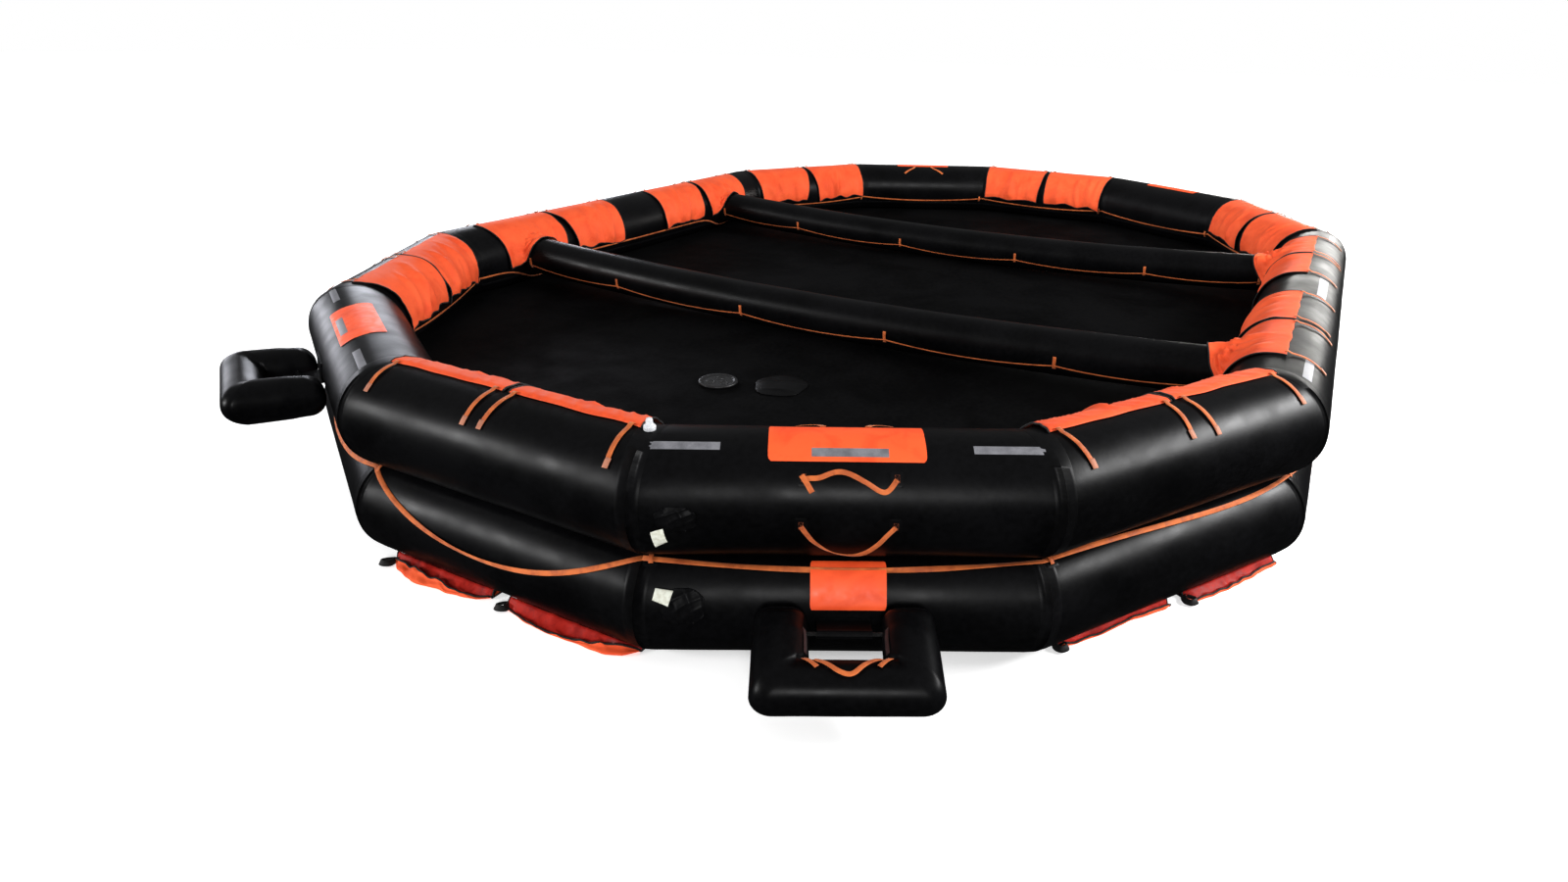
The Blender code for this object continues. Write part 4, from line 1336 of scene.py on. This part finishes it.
def make_ramp(joint):
    """A ramp's tube, the strips on its arms, its grip and its lacing, all on its own body."""
    number, matrix = ramp_frame(joint)
    body = joint["child"]
    side = 1 if number in LOW_RAMPS else -1  # a high ramp is built the other way up
    turns = circle(56)
    arm = np.concatenate([np.linspace(0, 1, 17)[:-1], np.ones(20)])
    corner_turn = np.concatenate(
        [np.zeros(16), np.radians(np.linspace(0, 90, 12)), np.full(8, math.pi / 2)]
    )
    bar = np.concatenate([np.zeros(28), np.linspace(0, 1, 9)[1:]])
    rows = [values[:, None] for values in (arm, corner_turn, bar)]
    radius = (
        ARM_R + (ARM_WIDE - ARM_R) * smooth(0, 0.3, rows[0]) + (BAR_R - ARM_WIDE) * np.sin(rows[1])
    )
    place = ramp_half(radius, turns, rows)
    by_corner = np.exp(
        -(((1 - rows[0]) * RAMP_REACH / 0.06) ** 2) - (rows[2] * ARM_APART / 0.06) ** 2
    )
    pucker = (
        0.0030 * by_corner * (np.sin(13 * turns + number) + 0.6 * np.sin(21 * turns))
        * np.clip(np.cos(turns), 0, 1)
    )
    halves = []
    for seed in (number, number + 20):
        rough = 0.0012 * waves(place + seed, 12, 0.25) * smooth(0.0, 0.3, rows[0])
        halves.append(ramp_half(radius + pucker + rough * (1 - rows[2]), turns, rows))
    points = np.concatenate([
        arm_end(-1, turns), halves[0], halves[1][-2::-1] * (-1, 1, 1), arm_end(1, turns)[::-1]
    ])
    builder = Builder()
    builder.grid(placed(points, matrix), wrap_columns=True, caps=True)
    builder.piece(f"ramp_{number}_skin", body, BLACK, [f"ramp_{number}"])

    strips = Builder()
    for sign in (-1, 1):
        y = np.linspace(0.02, RAMP_REACH - 0.115, 14)
        away = ARM_R + (ARM_WIDE - ARM_R) * smooth(0, 0.3, y / RAMP_REACH) + 0.0025
        inward = math.cos(STRIP_ANGLE)
        up = side * math.sin(STRIP_ANGLE)
        spots = np.stack([sign * (ARM_APART - away * inward), y, away * up], -1)
        normal = np.tile([-sign * inward, 0.0, up], (14, 1))
        sweep_strap(strips, placed(spots, matrix), rotated(normal, matrix), WEBBING["ramp strip"])
    # The strips are red webbing, coloured near black as painted shade on the arms' inner sides
    strips.piece(f"ramp_{number}_strips", body, RED_STRAP_PAINTED_SHADE)

    grip = Builder()
    for samples, route in ((56, RAMP_GRIP), (10, RAMP_GRIP_ENDS[0]), (10, RAMP_GRIP_ENDS[1])):
        along, degrees, lift = curve_through(route, samples).T
        angle = side * np.radians(degrees)
        away = BAR_R + 0.002 + lift
        spots = np.stack([along, RAMP_REACH + away * np.cos(angle), away * np.sin(angle)], -1)
        normal = np.stack([0 * angle, np.cos(angle), np.sin(angle)], -1)
        sweep_strap(grip, placed(spots, matrix), rotated(normal, matrix), WEBBING["ramp grip"])
    grip.piece(f"ramp_{number}_grip", body, STRAP, [f"ramp_handle_{number}"])

    lacing = Builder()
    x = np.linspace(-ARM_APART + ARM_R * 0.6, ARM_APART - ARM_R * 0.6, 90)
    for phase in (0, 2 * math.pi / 3, 4 * math.pi / 3):
        turn = x / LACING_PITCH + phase
        spots = np.stack([x, LACING_R * np.cos(turn), LACING_R * np.sin(turn)], -1)
        sweep_round(lacing, placed(spots, matrix), 0.0046, 8)
    lacing.piece(f"ramp_{number}_lacing", body, HEM_BLACK)


# Small pieces

def lathe(profile, turns):
    """Rings round Z, one for each radius and height of the profile."""
    return np.array([[(r * math.cos(t), r * math.sin(t), z) for t in turns] for r, z in profile])


def make_light():
    top = UPPER_Z + TUBE_R
    profile = [
        (0.0, 0.054), (0.006, 0.0535), (0.0115, 0.050), (0.0145, 0.044), (0.0155, 0.036),
        (0.0155, 0.0235), (0.0185, 0.0225), (0.0235, 0.0215), (0.0255, 0.019), (0.026, 0.014),
        (0.026, 0.002), (0.024, 0.0),
    ]
    foot = corner(1) + np.array([0, 0, top - SEAM_PINCH + 0.001])
    builder = Builder()
    builder.grid(lathe(profile, circle(32)) + foot, wrap_columns=True, caps=True)
    builder.piece("lamp", "raft", LAMP_WHITE, ["light"])


def make_drain_and_patch():
    turns = circle(64)
    low = MID_Z + FLOOR_HALF - 0.006
    centre = np.array([*DRAIN_AT, low])
    builder = Builder()
    profile = [
        (0.122, 0.0), (0.120, 0.010), (0.112, 0.014), (0.098, 0.0135), (0.094, 0.008),
        (0.090, 0.008)
    ]
    builder.grid(lathe(profile, turns) + centre, wrap_columns=True, caps=True, flip=True)
    for start in range(0, 360, 120):
        angle = math.radians(start + 20)
        middle = centre + np.array([0.048 * math.cos(angle), 0.048 * math.sin(angle), 0.0095])
        rim = lathe(((0.027, -0.003), (0.027, 0.002), (0.021, 0.002), (0.020, -0.003)), turns[::2])
        builder.grid(rim + middle, wrap_columns=True, flip=True)
    builder.piece("drain", "raft", BLACK_PLASTIC, ["floor_drain"])

    share, turn = np.meshgrid(np.linspace(0.001, 1, 40), turns, indexing="ij")
    wobble = 1 + 0.07 * np.sin(2 * turn + 1) + 0.04 * np.sin(5 * turn)
    r = 0.17 * share * wobble
    flat = np.stack([r * np.cos(turn), r * np.sin(turn)], -1)
    height = 0.020 * (1 - share**2.2) + 0.004 * waves(flat, 2, 0.12) * (1 - share)
    height = height + 0.006 * ridges(flat, 6, (1, 0.5), 0.11, 0.02) * (1 - share**4)
    cover = Builder()
    height = low + np.maximum(height, 0) + 0.001
    cover.grid(np.concatenate([flat + PATCH_AT, height[..., None]], -1), wrap_columns=True)
    made = cover.make("floor_patch_cover")
    solidify(made, CLOTH_THICK, 1.0)
    finish_piece(made, "raft", TAPE_BLACK, ["floor_patch"])


def finish_cad_nodes():
    """The hinge tabs keep their CAD shape and take the fabric's material."""
    for number in RAMP_SIDES:
        node = frame["nodes"][f"hinge_tab_{number}"]
        node.data.materials.clear()
        node.data.materials.append(TAPE_BLACK)


# Stage, light and camera

FLOOR_GLOW = 0.50  # makes the floor as white as the background behind it


def make_stage():
    bpy.ops.mesh.primitive_plane_add(size=160, location=(0, 0, -0.0005))
    floor = bpy.context.object
    floor.name = "studio_floor"
    made = Surface("studio floor", 0.8, Specular_IOR_Level=0.1)
    made.colour(
        made.colours(made.noise(0.8, 3), [(0.3, (0.91, 0.91, 0.91)), (0.7, (0.93, 0.93, 0.93))])
    )
    made.shader.inputs["Emission Color"].default_value = (1, 1, 1, 1)
    made.shader.inputs["Emission Strength"].default_value = FLOOR_GLOW
    floor.data.materials.append(made.material)
    floor.visible_glossy = False  # the black fabric reflects the dark hall and not the white floor


def area_light(name, place, target, size, brightness, colour):
    """A glowing rectangle like a window, that the camera itself doesn't see."""
    data = bpy.data.lights.new(name, "AREA")
    data.shape = "RECTANGLE"
    data.size = size[0]
    data.size_y = size[1]
    data.energy = math.pi * size[0] * size[1] * brightness
    data.color = colour
    made = add_object(name, data)
    made.location = place
    direction = Vector(target) - Vector(place)
    made.rotation_euler = direction.to_track_quat("-Z", "Y").to_euler()
    made.visible_camera = False


def sun_light(name, toward, strength, spread):
    data = bpy.data.lights.new(name, "SUN")
    data.energy = strength
    data.angle = math.radians(spread)
    made = add_object(name, data)
    made.rotation_euler = Vector(toward).to_track_quat("-Z", "Y").to_euler()


# Name, direction, strength and spread in degrees
SUNS = (
    ("sun on the left", (0.664, -0.688, -0.292), 2.1, 12),
    ("sun behind", (0.778, 0.505, -0.375), 1.5, 12),
)
# Name, place, target, size, brightness and colour
WINDOWS = (
    ("right window", (15.5, -5.2, 2.75), (0, -2.9, 1.0), (9, 1.3), 16, (1.0, 0.985, 0.95)),
    ("left window", (4.2, 10.2, 3.3), (-3.7, 1.5, 1.0), (5, 1.3), 14, (0.90, 0.92, 1.0)),
    ("low left window", (-2.6, 9.8, 1.3), (-4.9, 2.6, 0.6), (4, 1.2), 7, (0.92, 0.93, 1.0)),
    ("window in front right", (1.4, -9.3, 5.0), (-2.5, -2.6, 1.0), (6, 1.2), 60, (1, 1, 1)),
)


def make_light_rig():
    world = bpy.data.worlds.new("studio")
    bpy.context.scene.world = world
    world.use_nodes = True
    nodes = world.node_tree.nodes
    links = world.node_tree.links
    background = nodes["Background"]
    background.inputs["Color"].default_value = (1, 1, 1, 1)
    seen = nodes.new("ShaderNodeLightPath")
    level = nodes.new("ShaderNodeMapRange")
    level.inputs["To Max"].default_value = 1.0  # what the camera sees behind the raft
    direction = nodes.new("ShaderNodeTexCoord")
    split = nodes.new("ShaderNodeSeparateXYZ")
    hall = nodes.new("ShaderNodeMapRange")  # a hall that is dark low down and lighter overhead
    hall.inputs["From Min"].default_value = -0.05
    hall.inputs["From Max"].default_value = 0.9
    hall.inputs["To Min"].default_value = 0.03
    hall.inputs["To Max"].default_value = 0.55
    links.new(direction.outputs["Generated"], split.inputs["Vector"])
    links.new(split.outputs["Z"], hall.inputs["Value"])
    links.new(hall.outputs["Result"], level.inputs["To Min"])
    links.new(seen.outputs["Is Camera Ray"], level.inputs["Value"])
    links.new(level.outputs["Result"], background.inputs["Strength"])
    for sun in SUNS:
        sun_light(*sun)
    for window in WINDOWS:
        area_light(*window)


PICTURE_WIDTH = 1600
FOCAL_PIXELS = 924.94
SENSOR_MM = 36
CAMERA_AT = (-6.8622, -2.9694, 2.4733)
FORWARD = (0.80005, 0.43665, -0.41141)
RIGHT = (0.48690, -0.87323, 0.02005)
CENTRE_PIXEL = 832


def make_camera():
    data = bpy.data.cameras.new("camera")
    data.sensor_width = SENSOR_MM
    data.lens = SENSOR_MM * FOCAL_PIXELS / PICTURE_WIDTH
    data.shift_x = (PICTURE_WIDTH / 2 - CENTRE_PIXEL) / PICTURE_WIDTH
    data.clip_end = 300
    camera = add_object("camera", data)
    forward = Vector(FORWARD).normalized()
    right = Vector(RIGHT).normalized()
    up = right.cross(forward)
    matrix = Matrix((right, up, -forward)).transposed().to_4x4()
    matrix.translation = Vector(CAMERA_AT)
    camera.matrix_world = matrix
    bpy.context.scene.camera = camera


make_camera()
make_tube("tube_upper_skin", True)
make_tube("tube_lower_skin", False)
make_seam_tapes("seam_tapes_upper", True)
make_seam_tapes("seam_tapes_lower", False)
make_floor()
make_thwart("thwart_front_skin", -THWART_X)
make_thwart("thwart_rear_skin", THWART_X)
make_thwart_fittings()
make_thwart_lines()
make_pockets()
make_lifeline("outer_lifeline", False, outer_angle, (40, 100), 0.9, 2)
make_lifeline("inner_lifeline", True, inner_angle, (30, 90), 0.4, 3)
make_line_anchors()
make_side_fittings()
make_valve_covers()
for joint in frame["joints"]:
    make_ramp(joint)
make_light()
make_drain_and_patch()
finish_cad_nodes()
make_stage()
make_light_rig()
bpy.context.scene.view_settings.view_transform = "Standard"
bpy.context.scene.view_settings.gamma = 0.85
